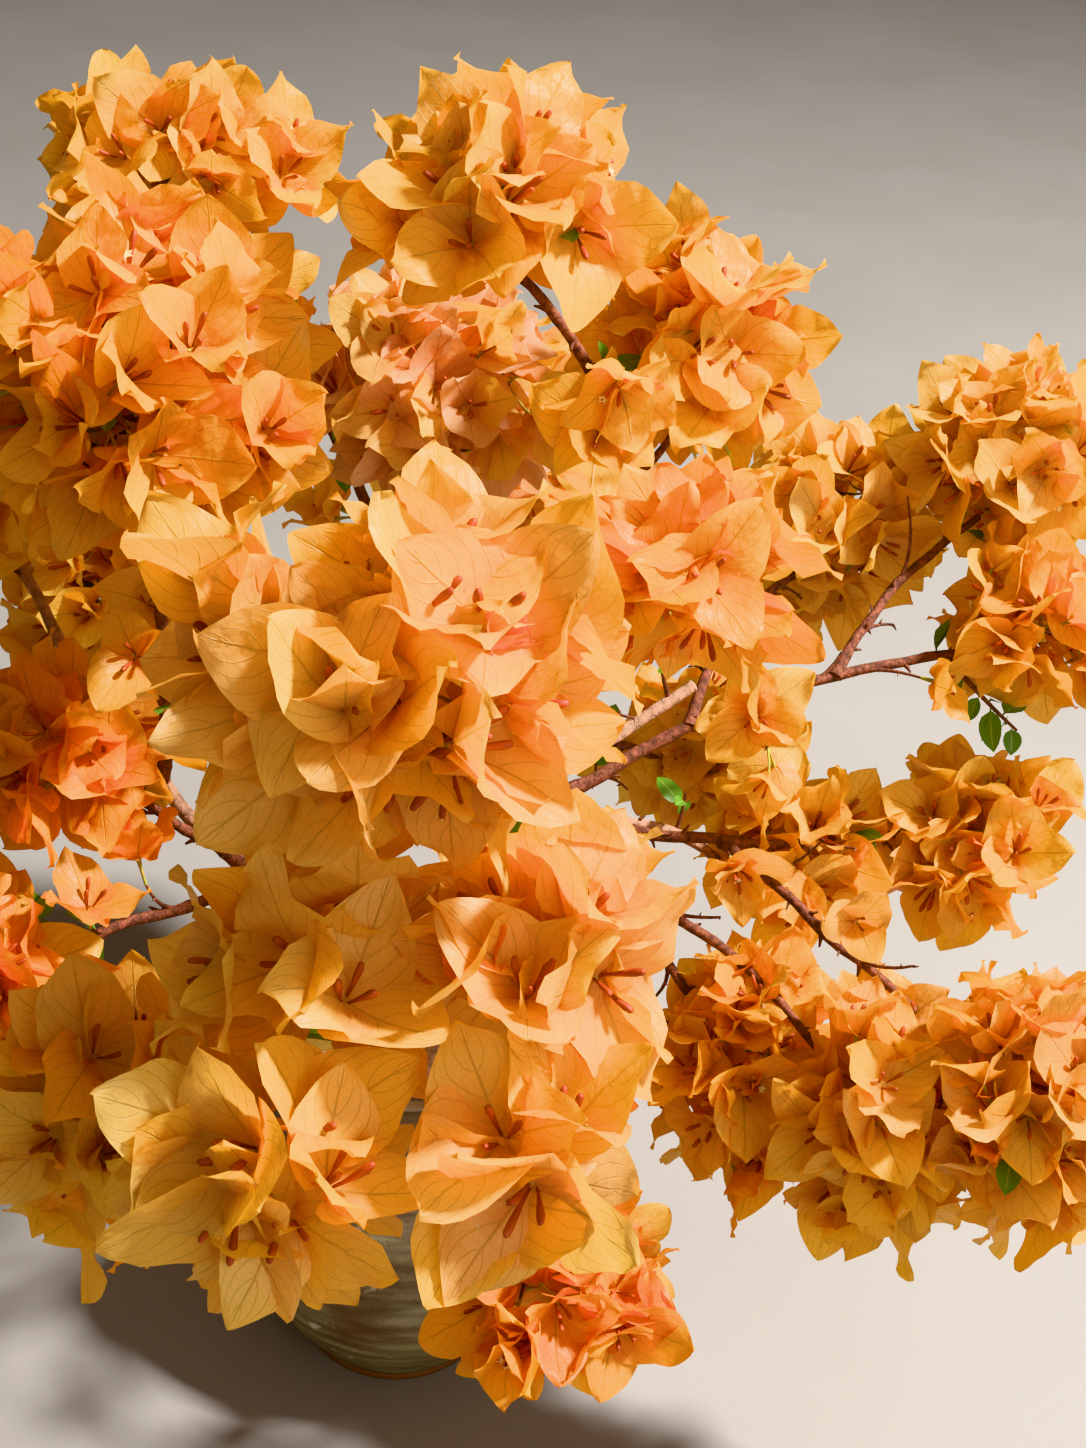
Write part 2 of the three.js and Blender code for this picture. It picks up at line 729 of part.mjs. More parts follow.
function buildBush() {
  const bush = new THREE.Group();
  const jar = jarGeometry();
  const soil = soilGeometry();
  bush.add(namedMesh("planter_jar", jar, paint(stonewareColour, glazeRoughness)));
  bush.add(namedMesh("potting_soil", soil, paint(soilColour, soilRoughness)));

  const limbs = growBoughs();
  bush.add(namedMesh("trunk", toGeometry(limbs.trunk.solid), paint(oldWoodColour, barkRoughness)));
  for (const [name, bough] of Object.entries(boughs)) {
    const colour = bough.radii[0] > oldWoodRadius ? oldWoodColour : youngWoodColour;
    bush.add(namedMesh(name, toGeometry(limbs[name].solid), paint(colour, barkRoughness)));
  }

  const stems = {};
  for (const [name, bough] of Object.entries(boughs)) {
    if (!bough.to) continue;
    const curve = stemCurve(bough.to, limbs[name].curve);
    const radii = [bough.radii[1], stemTipRadius];
    const thick = limbGeometry({ curve, radii, sides: boughSides, courses: twigCourses }, keepClear);
    stems[bough.to] = { curve, radii, guard: toSolid(thick) };
  }
  const guards = Object.values(limbs).map((limb) => toSolid(limb.geometry(keepClear)));
  guards.push(toSolid(jar), toSolid(soil));
  Object.keys(sprays).forEach((name, index) => {
    const { [name]: { curve, radii }, ...others } = stems;
    const otherGuards = Object.values(others).map((other) => other.guard);
    const solid = growSpray(name, index + 1, curve, radii, [...guards, ...otherGuards]);
    const plainColour = bractColours[index % bractColours.length];
    const colour = deepSprays.includes(name) ? deepBractColour : plainColour;
    bush.add(namedMesh(`blossom_${name}`, toGeometry(solid), paint(colour, bractRoughness)));
  });
  return bush;
}

export default buildBush();
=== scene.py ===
"""A bougainvillea bush in full orange flower, growing in a round-bellied stoneware jar.

Metres, +Z up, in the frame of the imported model. The growth tables below are in millimetres.
A heading is an angle round the jar's axis, in degrees, counted anticlockwise from +X; a reach is
a distance from that axis.
"""

import json
import math
from collections import namedtuple
from functools import lru_cache

import bmesh
import bpy
from mathutils import Matrix, Vector, noise

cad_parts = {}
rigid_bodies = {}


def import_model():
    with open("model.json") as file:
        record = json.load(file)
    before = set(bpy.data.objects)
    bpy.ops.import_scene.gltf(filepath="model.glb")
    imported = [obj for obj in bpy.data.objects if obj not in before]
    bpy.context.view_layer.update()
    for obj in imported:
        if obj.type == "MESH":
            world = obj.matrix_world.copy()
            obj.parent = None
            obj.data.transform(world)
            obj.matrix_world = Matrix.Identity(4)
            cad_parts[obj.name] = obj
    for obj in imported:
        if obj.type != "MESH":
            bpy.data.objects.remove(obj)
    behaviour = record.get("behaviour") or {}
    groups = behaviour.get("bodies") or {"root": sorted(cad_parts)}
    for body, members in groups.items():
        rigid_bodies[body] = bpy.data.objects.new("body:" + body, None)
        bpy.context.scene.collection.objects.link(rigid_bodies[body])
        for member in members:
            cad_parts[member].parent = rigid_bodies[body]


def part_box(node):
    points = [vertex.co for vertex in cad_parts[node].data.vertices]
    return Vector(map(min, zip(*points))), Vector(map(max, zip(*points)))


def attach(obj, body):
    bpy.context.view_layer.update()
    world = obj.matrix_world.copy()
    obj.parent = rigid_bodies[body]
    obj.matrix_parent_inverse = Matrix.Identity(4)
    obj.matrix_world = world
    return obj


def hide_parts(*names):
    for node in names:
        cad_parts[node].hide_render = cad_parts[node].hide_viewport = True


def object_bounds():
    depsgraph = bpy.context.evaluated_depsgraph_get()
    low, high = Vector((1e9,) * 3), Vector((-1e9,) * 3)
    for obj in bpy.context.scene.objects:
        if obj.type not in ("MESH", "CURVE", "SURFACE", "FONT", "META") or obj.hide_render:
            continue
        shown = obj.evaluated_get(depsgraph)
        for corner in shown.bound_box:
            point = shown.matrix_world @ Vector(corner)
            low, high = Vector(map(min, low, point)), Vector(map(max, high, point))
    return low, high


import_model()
cad_low, cad_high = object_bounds()

bl_info = {
    "name": "Bougainvillea Bush",
    "version": (1, 0, 0),
    "blender": (4, 5, 0),
    "location": "View3D > Sidebar > Bush",
    "description": "Grows a flowering bougainvillea bush in a stoneware jar",
    "category": "Add Mesh",
}

MM = 0.001
UP = Vector((0, 0, 1))

# Camera and floor: the camera's place in metres, its angles in degrees, the floor in millimetres
CAMERA_PLACE = (0.069, -0.998, 1.126)
CAMERA_PITCH = 32
CAMERA_ROLL = 5
FLOOR_RADIUS = 9000
FLOOR_HEIGHT = -0.1

# Jar, soil and trunk, in millimetres. The jar's pairs are a radius and its height.
BELLY = (102.5, 82)
FOOT = (65, 6)
SHOULDER = (76, 186)
NECK = (54, 229)
RIM_RADIUS = 58
RIM_ROUNDING = 2.4
JAR_HEIGHT = 246
WALL = 7
JAR_FLOOR = 10
SOIL_TOP = 224
RESTING_GAP = 0.3
TRUNK_FOOT = (8, 14)
TRUNK_TOP = (24, 22)
TRUNK_LENGTH = 104
TRUNK_RADII = (10.5, 8)
TRUNK_SWAY = 5
FLARE_RADIUS = 8
FLARE_HEIGHT = 13
FLARE_LOBES = 5
FLARE_LOBE_DEPTH = 0.22
FLUTE_DEPTH = 0.035

# Boughs and twigs: lengths and radii in millimetres, swellings in shares of the radius
JOINT_SPACING = (26, 36)
JOINT_SWELLING = 0.12
JOINT_WIDTH = 3
COLLAR_SWELLING = 0.55
COLLAR_LENGTH = 7
KINK = 3.2
KINK_FREE_ENDS = 25
SIDE_TWIG_LENGTHS = (18, 60)
SIDE_TWIG_LEANS = (0.5, 1.4)
SIDE_TWIG_RADII = (1.7, 0.8)
SHOOT_RADII = (1.9, 0.9)
GREEN_STALK = 24
CALYX_RADIUS = 1.5

# The growth rule of the sprays: lengths in millimetres, angles in degrees, the rest in shares
CLOUD_FULLNESS = 1.18
CLOUD_OVERLAP = 12
EDGE_SLACK = 1.04
LOBE_DEPTH = 0.24
LOBES_ACROSS = 1.8
BRACT_BREADTH = 0.94
BRACT_WIDEST = 0.46
BRACT_LENGTHS = (0.88, 1.06)
BRACT_STRAY = 0.16
BRACTS_PER_FLOWER = 3
FLOWER_OPENING = (36, 62)
FLOWER_CLOSING = (1, 0.8, 0.6, 0.45)
FLOWER_TILT = 0.16
FLOWER_TRIES = 40
FACING_STRAY = 0.75
SKYWARD = 0.35
OUTER_SHARE = 0.6
OUTER_DEPTHS = (0.82, 1)
INNER_DEPTHS = (0.3, 0.75)
INNER_SIZE = 0.86
DEEPEST_FLOWER = 0.1
YOUNG_SHARE = 0.16
YOUNG_SIZE = 0.5
YOUNG_OPENING = 0.4
YOUNG_VERMILION = 0.6
TWIG_FEET = (0.3, 0.95)
TWIG_BEND = 0.45
TWIG_BEHIND = 0.35
SPRAY_DOOR = 0.72
LOOSE_MOST = 3
LOOSE_STALKS = (9, 20)
LOOSE_SIZES = (0.66, 0.9)
FLORET_SHARE = 0.035
FLORET_WIDTH = 6.5
LEAFY_FLOWERS = 0.09
LEAFY_STEPS = 0.07

Cloud = namedtuple("Cloud", "heading reach height half bract tints")
Bough = namedtuple("Bough", "parent at target radii rise swing")
Spray = namedtuple("Spray", "stem radius flowers")
Flower = namedtuple("Flower", "end axis bracts twig young size")

# Each spray is a cloud of blossom round its heart: heading, reach and height of the heart, half
# the cloud's size outward, across and upright, the length of its bracts, and its tints, the main
# one first.
SPRAYS = {name: Cloud(*row) for name, row in {
    "top_centre": (-18, 26, 814, (76, 76, 58), 50, ("gold", "pale_gold", "amber")),
    "arch_right": (27, 151, 706, (62, 62, 82), 44, ("gold", "pale_gold", "amber")),
    "centre_right": (-33, 163, 656, (66, 62, 54), 46, ("amber", "gold", "orange")),
    "right_upper_near": (40, 336, 552, (76, 70, 62), 42, ("pale_gold", "gold", "apricot")),
    "right_upper_far": (29, 412, 608, (76, 76, 66), 42, ("pale_gold", "gold", "amber")),
    "right_upper_low": (17, 388, 536, (66, 66, 54), 42, ("gold", "amber", "pale_gold")),
    "right_middle_near": (14, 248, 384, (64, 62, 56), 44, ("gold", "amber", "pale_gold")),
    "right_middle_far": (11, 352, 402, (66, 64, 58), 43, ("gold", "amber", "apricot")),
    "right_lower_near": (-14, 220, 296, (62, 62, 88), 41, ("amber", "gold", "orange")),
    "right_lower_middle": (-20, 309, 326, (62, 64, 88), 41, ("gold", "apricot", "amber")),
    "right_lower_far": (-19, 385, 352, (66, 66, 88), 42, ("apricot", "gold", "amber")),
    "upper_left": (-157, 158, 724, (94, 96, 84), 45, ("amber", "gold", "orange")),
    "upper_left_back": (129, 291, 744, (78, 92, 58), 45, ("gold", "amber", "pale_gold")),
    "left_far": (178, 288, 632, (76, 78, 78), 44, ("gold", "amber", "orange")),
    "left_middle": (-153, 212, 520, (66, 64, 56), 44, ("orange", "amber", "vermilion")),
    "left_back": (140, 308, 455, (76, 78, 68), 42, ("gold", "orange", "amber")),
    "left_low": (-140, 294, 430, (60, 60, 64), 41, ("orange", "vermilion", "gold")),
    "lower_left": (-115, 296, 422, (62, 66, 84), 44, ("gold", "pale_gold", "orange")),
    "near_centre": (-88, 286, 704, (80, 96, 86), 55, ("apricot", "gold", "pale_gold")),
    "lower_centre_left": (-93, 328, 570, (62, 68, 62), 53, ("pale_gold", "gold", "amber")),
    "lower_centre_right": (-77, 322, 578, (64, 68, 64), 54, ("apricot", "pale_gold", "gold")),
    "lower_front_left": (-93, 384, 518, (62, 76, 52), 54, ("gold", "pale_gold", "apricot")),
    "lower_front_right": (-79, 382, 524, (62, 68, 56), 56, ("apricot", "gold", "pale_gold")),
    "low_front": (-59, 222, 248, (60, 80, 50), 42, ("orange", "gold", "vermilion")),
    "back_top": (95, 150, 642, (74, 86, 70), 42, ("peach", "pale_gold", "apricot")),
    "back": (84, 332, 500, (80, 94, 80), 42, ("pale_gold", "peach", "amber")),
    "right_back_low": (55, 340, 322, (66, 70, 66), 40, ("gold", "amber", "apricot")),
}.items()}

# Each bough: its parent, the share of the parent's length at which it springs, the spray that it
# runs to or a bare end of its own, its radii at root and tip, and how far it bows upwards and to
# the left, as shares of its length.
BOUGHS = {name: Bough(*row) for name, row in {
    "right_limb": ("trunk", 1, "right_middle_near", (6.4, 3), 0.36, 0.05),
    "arch_lower": ("right_limb", 0.42, (20, 97, 645), (5.2, 4), 0.02, -0.16),
    "arch_upper": ("arch_lower", 1, "top_centre", (4, 2.6), 0.12, 0.06),
    "pruned_stub": ("arch_lower", 0.3, (20, 168, 503), (4.2, 3.6), 0, 0),
    "bough_arch_right": ("arch_lower", 0.78, "arch_right", (3.2, 2.6), 0.05, 0.1),
    "bough_centre_right": ("arch_lower", 0.42, "centre_right", (3.4, 2.6), 0.02, -0.1),
    "bough_right_upper": ("arch_lower", 0.2, "right_upper_low", (4.4, 2.8), 0.04, 0.04),
    "bough_right_upper_near": ("bough_right_upper", 0.34, "right_upper_near", (3.4, 2.6), 0.06, 0.08),
    "bough_right_upper_far": ("bough_right_upper", 0.7, "right_upper_far", (3.2, 2.6), 0.02, 0.06),
    "bough_right_middle": ("right_limb", 0.62, "right_middle_far", (4, 2.6), 0.02, -0.1),
    "bough_right_lower": ("right_limb", 0.5, "right_lower_near", (4.2, 2.8), 0.1, -0.04),
    "bough_right_lower_middle": ("bough_right_lower", 0.45, "right_lower_middle", (3.4, 2.6), 0.1, 0.02),
    "bough_right_lower_far": ("bough_right_middle", 0.4, "right_lower_far", (3.4, 2.6), 0.08, -0.08),
    "left_limb": ("trunk", 0.84, "left_far", (6, 3), -0.02, 0.22),
    "bough_upper_left": ("left_limb", 0.64, "upper_left", (4, 3), 0, 0.1),
    "bough_left_middle": ("left_limb", 0.46, "left_middle", (3.4, 2.6), 0.05, 0.06),
    "bough_left_low": ("left_limb", 0.38, "left_low", (3.8, 2.6), 0.1, 0.05),
    "bough_lower_left": ("left_limb", 0.24, "lower_left", (3.6, 2.6), 0.14, 0.05),
    "front_limb": ("trunk", 0.93, "near_centre", (5.6, 3.2), 0.06, 0.02),
    "bough_lower_centre_left": ("front_limb", 0.5, "lower_centre_left", (3.4, 2.6), 0.04, -0.05),
    "bough_lower_centre_right": ("front_limb", 0.6, "lower_centre_right", (3.4, 2.6), 0.04, 0.06),
    "bough_lower_front_left": ("front_limb", 0.28, "lower_front_left", (3.8, 2.6), -0.04, -0.03),
    "bough_lower_front_right": ("front_limb", 0.36, "lower_front_right", (3.8, 2.6), -0.04, 0.05),
    "bough_low_front": ("trunk", 0.66, "low_front", (3.8, 2.4), 0.34, -0.05),
    "back_limb": ("trunk", 0.75, "back", (5.8, 3), 0.12, 0.02),
    "bough_back_top": ("back_limb", 0.4, "back_top", (3.6, 2.8), 0.02, -0.06),
    "bough_upper_left_back": ("back_limb", 0.52, "upper_left_back", (4, 2.8), 0.08, 0.04),
    "bough_left_back": ("back_limb", 0.26, "left_back", (3.8, 2.8), 0.1, 0.08),
    "bough_right_back_low": ("back_limb", 0.34, "right_back_low", (3.8, 2.8), 0.12, -0.05),
}.items()}
OLD_WOOD = ("right_limb", "arch_lower", "pruned_stub", "left_limb", "front_limb", "back_limb")

# Leafy shoots: the bough and the share of its length at which each springs, the way it grows, its
# length and the number of its leaves.
SHOOTS = (
    ("pruned_stub", 0.82, (-0.25, -0.2, 1), 64, 7),
    ("bough_upper_left_back", 0.5, (0.3, -0.9, 0.3), 26, 5),
    ("right_limb", 0.82, (0.1, 0.1, 0.9), 30, 3),
    ("bough_left_low", 0.9, (-0.7, -0.2, 0.6), 42, 8),
    ("bough_lower_left", 0.8, (0.2, -0.3, 0.6), 22, 3),
    ("bough_right_upper", 0.97, (0.8, -0.1, -0.7), 70, 8),
    ("bough_upper_left", 0.36, (0.7, -0.5, 0.3), 30, 4),
    ("bough_arch_right", 0.6, (-0.2, -0.6, 0.5), 18, 2),
    ("arch_upper", 0.45, (0.5, -0.5, 0.4), 20, 3),
)

# Bract tints: the name of a slot for each, and the colour of the light that comes through it
TINTS = {
    "gold": ("bract_gold", 0xFBBE48),
    "pale_gold": ("bract_gold", 0xFCCB62),
    "amber": ("bract_amber", 0xFAB038),
    "orange": ("bract_amber", 0xF8A030),
    "apricot": ("bract_peach", 0xFABE5E),
    "peach": ("bract_peach", 0xFAC088),
    "vermilion": ("bract_vermilion", 0xF58724),
}
TINT_SHARES = (0.6, 0.85)


def linear(code, alpha=None):
    """An sRGB hex colour as linear red, green and blue."""
    shares = [((code >> shift) & 255) / 255 for shift in (16, 8, 0)]
    colour = tuple(s / 12.92 if s <= 0.04045 else ((s + 0.055) / 1.055) ** 2.4 for s in shares)
    return colour if alpha is None else (*colour, alpha)


def lerp(a, b, share):
    return a + (b - a) * share


# Properties

def metres(name, description, default):
    return bpy.props.FloatProperty(
        name=name, description=description, default=default, unit="LENGTH", precision=4,
    )


def hue(name, description, code):
    return bpy.props.FloatVectorProperty(
        name=name, description=description, default=linear(code), subtype="COLOR",
        size=3, min=0, max=1,
    )


class BushJarSizes(bpy.types.PropertyGroup):
    """The stoneware jar and the soil in it"""
    height: metres("Height", "Height of the jar to its rim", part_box("planter_jar")[1][2])
    ring_pitch: metres("Ring pitch", "Distance between the throwing rings", 0.0115)
    ring_depth: metres("Ring depth", "Depth of the throwing rings", 0.001)
    sides: bpy.props.IntProperty(name="Sides", description="Faces round the jar", default=120)
    chips: bpy.props.IntProperty(name="Chips", description="Bark chips on the soil", default=240)
    chip_size: metres("Chip size", "Length of a middling bark chip", 0.0075)
    glaze: hue("Glaze", "Ash glaze where it lies thick", 0x807C64)
    bare_clay: hue("Bare clay", "Stoneware where the glaze is thin", 0x6E5A49)
    soil: hue("Soil", "Damp potting soil", 0x4A3327)


class BushWoodSizes(bpy.types.PropertyGroup):
    """Trunk, boughs, twigs and spurs"""
    sides: bpy.props.IntProperty(name="Sides", description="Faces round a bough", default=12)
    step: metres("Step", "Distance between the rings of a bough", 0.004)
    relief: metres("Relief", "Depth of the bark's relief", 0.0012)
    ridge: metres("Ridge", "Width of the ridges in the bark", 0.005)
    spur_spacing: metres("Spur spacing", "Distance between the spurs on a young bough", 0.026)
    spur_length: metres("Spur length", "Length of a spur", 0.0055)
    side_twig_spacing: metres("Side twig spacing", "Distance between side twigs", 0.044)
    old_bark: hue("Old bark", "Weathered bark of the trunk and limbs", 0xB08A72)
    young_bark: hue("Young bark", "Bark of the thin boughs", 0x6A3E2E)
    green_twig: hue("Green twig", "Skin of a flower's own stalk", 0x93A34B)


class BushBlossomSizes(bpy.types.PropertyGroup):
    """Bracts, flower tubes and leaves"""
    bract_scale: bpy.props.FloatProperty(
        name="Bract scale", description="Bracts of every spray, in proportion", default=1.0,
    )
    fullness: bpy.props.FloatProperty(
        name="Fullness", description="Flowers in a cube of cloud as wide as a bract is long", default=1.5,
    )
    spacing: bpy.props.FloatProperty(
        name="Spacing", description="Least distance between flowers, in bract lengths", default=0.4,
    )
    share_in_flower: bpy.props.FloatProperty(
        name="Share in flower", description="Share of the side twigs that bear flowers", default=0.6,
    )
    tube: bpy.props.FloatProperty(
        name="Tube", description="Length of a flower tube, in bract lengths", default=0.42,
    )
    leaf: metres("Leaf", "Length of a middling leaf", 0.030)
    leaf_colour: hue("Leaf colour", "Upper side of a leaf", 0x5E8C35)
    tube_colour: hue("Tube colour", "Flower tube", 0x8E3A1C)


# The growth rule

def seeded_row(seed):
    """One seeded row of numbers from 0 to 1, the same as in the part's source."""
    state = seed

    def draw():
        nonlocal state
        state = (state + 0x6D2B79F5) & 0xFFFFFFFF
        mixed = ((state ^ (state >> 15)) * (state | 1)) & 0xFFFFFFFF
        step = ((mixed ^ (mixed >> 7)) * (mixed | 61)) & 0xFFFFFFFF
        mixed = ((mixed + step) & 0xFFFFFFFF) ^ mixed
        return (mixed ^ (mixed >> 14)) / 4294967296

    return draw


def round_axis(turn, reach, height):
    """A point round the Z axis, its turn in radians."""
    return Vector((reach * math.cos(turn), reach * math.sin(turn), height))


def place_at(heading, reach, height):
    return round_axis(math.radians(heading), reach, height)


def heart_of(name):
    return place_at(*SPRAYS[name][:3])


def on_curve(points, share):
    """The point of a Bezier curve of any degree."""
    row = [p.copy() for p in points]
    while len(row) > 1:
        row = [a.lerp(b, share) for a, b in zip(row, row[1:])]
    return row[0]


def heading_of(points, share):
    low, high = max(share - 0.002, 0), min(share + 0.002, 1)
    return (on_curve(points, high) - on_curve(points, low)).normalized()


def curve_length(points, steps=12):
    row = [on_curve(points, i / steps) for i in range(steps + 1)]
    return sum((b - a).length for a, b in zip(row, row[1:]))


def in_cloud_sizes(name, offset):
    """How far out a point lies, where 1 is the edge of the cloud, which is a little lobed."""
    cloud = SPRAYS[name]
    turn = math.radians(cloud.heading)
    outward = round_axis(turn, 1, 0)
    across = Vector((-math.sin(turn), math.cos(turn), 0))
    shares = [offset.dot(way) / half for way, half in zip((outward, across, UP), cloud.half)]
    bumps = noise.noise(offset.normalized() * LOBES_ACROSS + Vector(cloud[:3]))
    return Vector(shares).length * (1 + LOBE_DEPTH * bumps) / CLOUD_FULLNESS


def cloud_reach(name, direction):
    return 1 / in_cloud_sizes(name, direction)


@lru_cache(maxsize=None)
def parting_planes(name):
    """The planes that part a cloud from the clouds round it, in proportion to their sizes."""
    planes = []
    for other in SPRAYS:
        between = heart_of(other) - heart_of(name)
        distance = between.length
        most = (max(SPRAYS[name].half) + max(SPRAYS[other].half)) * CLOUD_FULLNESS
        if other != name and distance < most:
            direction = between / distance
            own, theirs = cloud_reach(name, direction), cloud_reach(other, direction)
            planes.append((direction, distance * own / (own + theirs)))
    return planes


def keeps_to_cloud(name, points):
    """True if the points lie in the cloud and no further than the overlap into another."""
    heart = heart_of(name)
    offsets = [p - heart for p in points]
    return all(in_cloud_sizes(name, o) <= EDGE_SLACK for o in offsets) and all(
        o.dot(direction) < limit + CLOUD_OVERLAP
        for o in offsets for direction, limit in parting_planes(name)
    )


def trunk_curve():
    foot = Vector((*TRUNK_FOOT, SOIL_TOP + RESTING_GAP))
    top = Vector((*TRUNK_TOP, foot.z + TRUNK_LENGTH))
    middle = foot.lerp(top, 0.5) + Vector((-TRUNK_SWAY, TRUNK_SWAY, 0))
    return [foot, middle, top]


@lru_cache(maxsize=None)
def bough_curve(name):
    """A bough's curve, from its parent to where the spray's cloud takes over."""
    if name == "trunk":
        return trunk_curve()
    parent, at, target, _, rise, swing = BOUGHS[name]
    stock = bough_curve(parent)
    start, heading = on_curve(stock, at), heading_of(stock, at)
    if isinstance(target, str):
        heart = heart_of(target)
        inward = (heart - start).normalized()
        end = heart - inward * SPRAY_DOOR * cloud_reach(target, inward)
    else:
        end = place_at(*target)
    chord = end - start
    bulge = (UP.cross(chord).normalized() * swing + UP * rise) * chord.length * 4 / 3
    second = start + chord * 2 / 3 + bulge
    first = start + heading * chord.length / 3 if at == 1 else start + chord / 3 + bulge
    return [start, first, second, end]


def stem_curve(bough):
    """The stem that goes on from a bough's tip to the heart of its spray."""
    tip = bough_curve(bough)
    heading, start = heading_of(tip, 1), on_curve(tip, 1)
    heart = heart_of(BOUGHS[bough].target)
    return [start, start + heading * (heart - start).length / 2, heart]


def random_direction(draw):
    height = 2 * draw() - 1
    return round_axis(draw() * math.tau, math.sqrt(1 - height * height), height)


def flower_seat(name, direction, opening, size):
    """How far out a flower sits, so that its open bracts reach the edge of the cloud."""
    reach = cloud_reach(name, direction)
    aside, ahead = size * math.sin(opening), size * math.cos(opening)
    return max(math.sqrt(max(reach * reach - aside * aside, 0)) - ahead, DEEPEST_FLOWER * reach)


def turn_of(x, y, z):
    return Matrix((x, y, z)).transposed().to_euler()


def upright(z):
    """The turn that lays +Z along a direction."""
    x = z.orthogonal().normalized()
    return Matrix((x, z.cross(x), z)).transposed()


def flower_bracts(end, axis, opening, size, roll, draw):
    """Place, turn, length and direction of each bract, and the points of its edge."""
    first = axis.orthogonal().normalized()
    bracts, edge = [], []
    for k in range(BRACTS_PER_FLOWER):
        angle = roll + math.tau * (k + BRACT_STRAY * (draw() - 0.5)) / BRACTS_PER_FLOWER
        spread = Matrix.Rotation(angle, 3, axis) @ first
        length = size * lerp(*BRACT_LENGTHS, draw())
        tilt = opening * (1 + FLOWER_TILT * (2 * draw() - 1))
        along = axis * math.cos(tilt) + spread * math.sin(tilt)
        side = along.cross(axis).normalized()
        inward = side.cross(along)
        base = end + spread * 1.2
        bracts.append((base, turn_of(side, along, inward), length, along))
        half = length * BRACT_BREADTH / 2
        edge += [base + along * length]
        edge += [base + along * length * BRACT_WIDEST + side * half * s for s in (-1, 1)]
    return bracts, edge


def twig_curve(stem, twigs, end, axis, direction):
    """A twig to a flower, from the nearest wood that lies behind it."""
    share = (direction.dot(heading_of(stem, 1)) + 1) / 2
    feet = [on_curve(stem, lerp(*TWIG_FEET, share))]
    feet += [on_curve(twig, 0.5) for twig in twigs]
    behind = [f for f in feet if (end - f).dot(axis) > TWIG_BEHIND * (end - f).length]
    foot = min(behind or feet[:1], key=lambda f: (end - f).length)
    return [foot, end - axis * (end - foot).length * TWIG_BEND, end]


def tinted(bracts, tints, young, draw):
    """The bracts, each with its tint: the spray's main one more often than the others, except that
    most of the young ones are vermilion."""
    dealt = []
    for bract in bracts:
        deal = draw()
        pick = 0 if deal < TINT_SHARES[0] else 1 if deal < TINT_SHARES[1] else 2
        dealt.append((*bract, "vermilion" if young and deal < YOUNG_VERMILION else tints[pick]))
    return dealt


def grow_spray(name, seed, stem, sizes):
    """Flowers of one spray: the outer ones first, then young and inner ones that fill it."""
    draw = seeded_row(seed)
    cloud = SPRAYS[name]
    bract_scale, fullness, spacing = sizes
    full_size = cloud.bract * bract_scale
    room = 4 / 3 * math.pi * math.prod(cloud.half) * CLOUD_FULLNESS ** 3
    wanted = round(fullness * room / full_size ** 3)
    flowers, twigs = [], []
    for _ in range(wanted * FLOWER_TRIES):
        if len(flowers) >= wanted:
            break
        inner = len(flowers) > wanted * OUTER_SHARE
        young = inner and draw() < YOUNG_SHARE
        size = full_size * (YOUNG_SIZE if young else INNER_SIZE if inner else 1)
        direction = random_direction(draw)
        axis = (direction + UP * SKYWARD + random_direction(draw) * FACING_STRAY).normalized()
        widest = math.radians(lerp(*FLOWER_OPENING, draw())) * (YOUNG_OPENING if young else 1)
        depth = lerp(*(INNER_DEPTHS if inner else OUTER_DEPTHS), draw())
        roll = draw() * math.tau
        for closing in FLOWER_CLOSING:
            opening = widest * closing
            end = heart_of(name) + direction * flower_seat(name, direction, opening, size) * depth
            if any((f.end - end).length < spacing * size for f in flowers):
                continue
            bracts, edge = flower_bracts(end, axis, opening, size, roll, draw)
            if not keeps_to_cloud(name, edge):
                continue
            twig = twig_curve(stem, twigs, end, axis, direction)
            twigs.append(twig)
            flowers.append(Flower(end, axis, tinted(bracts, cloud.tints, young, draw), twig, young, size))
            break
    return flowers


@lru_cache(maxsize=1)
def side_twigs(spacing):
    """Side twigs of the young boughs, as the bough's name and the twig's curve."""
    draw = seeded_row(211)
    twigs = []
    for name in BOUGHS:
        if name in OLD_WOOD:
            continue
        curve = bough_curve(name)
        count = int(curve_length(curve) / spacing)
        for k in range(count):
            share = (k + lerp(0.2, 0.9, draw())) / count
            start, forward = on_curve(curve, share), heading_of(curve, share)
            out = forward.cross(random_direction(draw)).normalized()
            reach = lerp(*SIDE_TWIG_LENGTHS, draw())
            tip = start + (forward + out * lerp(*SIDE_TWIG_LEANS, draw())).normalized() * reach
            twigs.append((name, [start, start + forward * reach * TWIG_BEND, tip]))
    return twigs


def loose_flowers(spacing, share_in_flower):
    """One to three flowers at the tips of some of the side twigs, on stalks of their own."""
    draw = seeded_row(401)
    flowers = []
    for name, curve in side_twigs(spacing):
        cloud = SPRAYS[BOUGHS[name].target]
        if draw() > share_in_flower:
            continue
        tip, way = curve[2], heading_of(curve, 1)
        for _ in range(1 + int(draw() * LOOSE_MOST)):
            axis = (way + UP * 0.4 + random_direction(draw) * 0.9).normalized()
            end = tip + (way + axis).normalized() * lerp(*LOOSE_STALKS, draw())
            size = cloud.bract * lerp(*LOOSE_SIZES, draw())
            opening = math.radians(lerp(*FLOWER_OPENING, draw()))
            bracts, edge = flower_bracts(end, axis, opening, size, draw() * math.tau, draw)
            if all(low < x * MM < high for p in edge for x, low, high in zip(p, cad_low, cad_high)):
                dealt = tinted(bracts, cloud.tints, False, draw)
                stalk = [tip, tip.lerp(end, 0.5) + way * 2, end]
                flowers.append(Flower(end, axis, dealt, stalk, False, size))
    return flowers


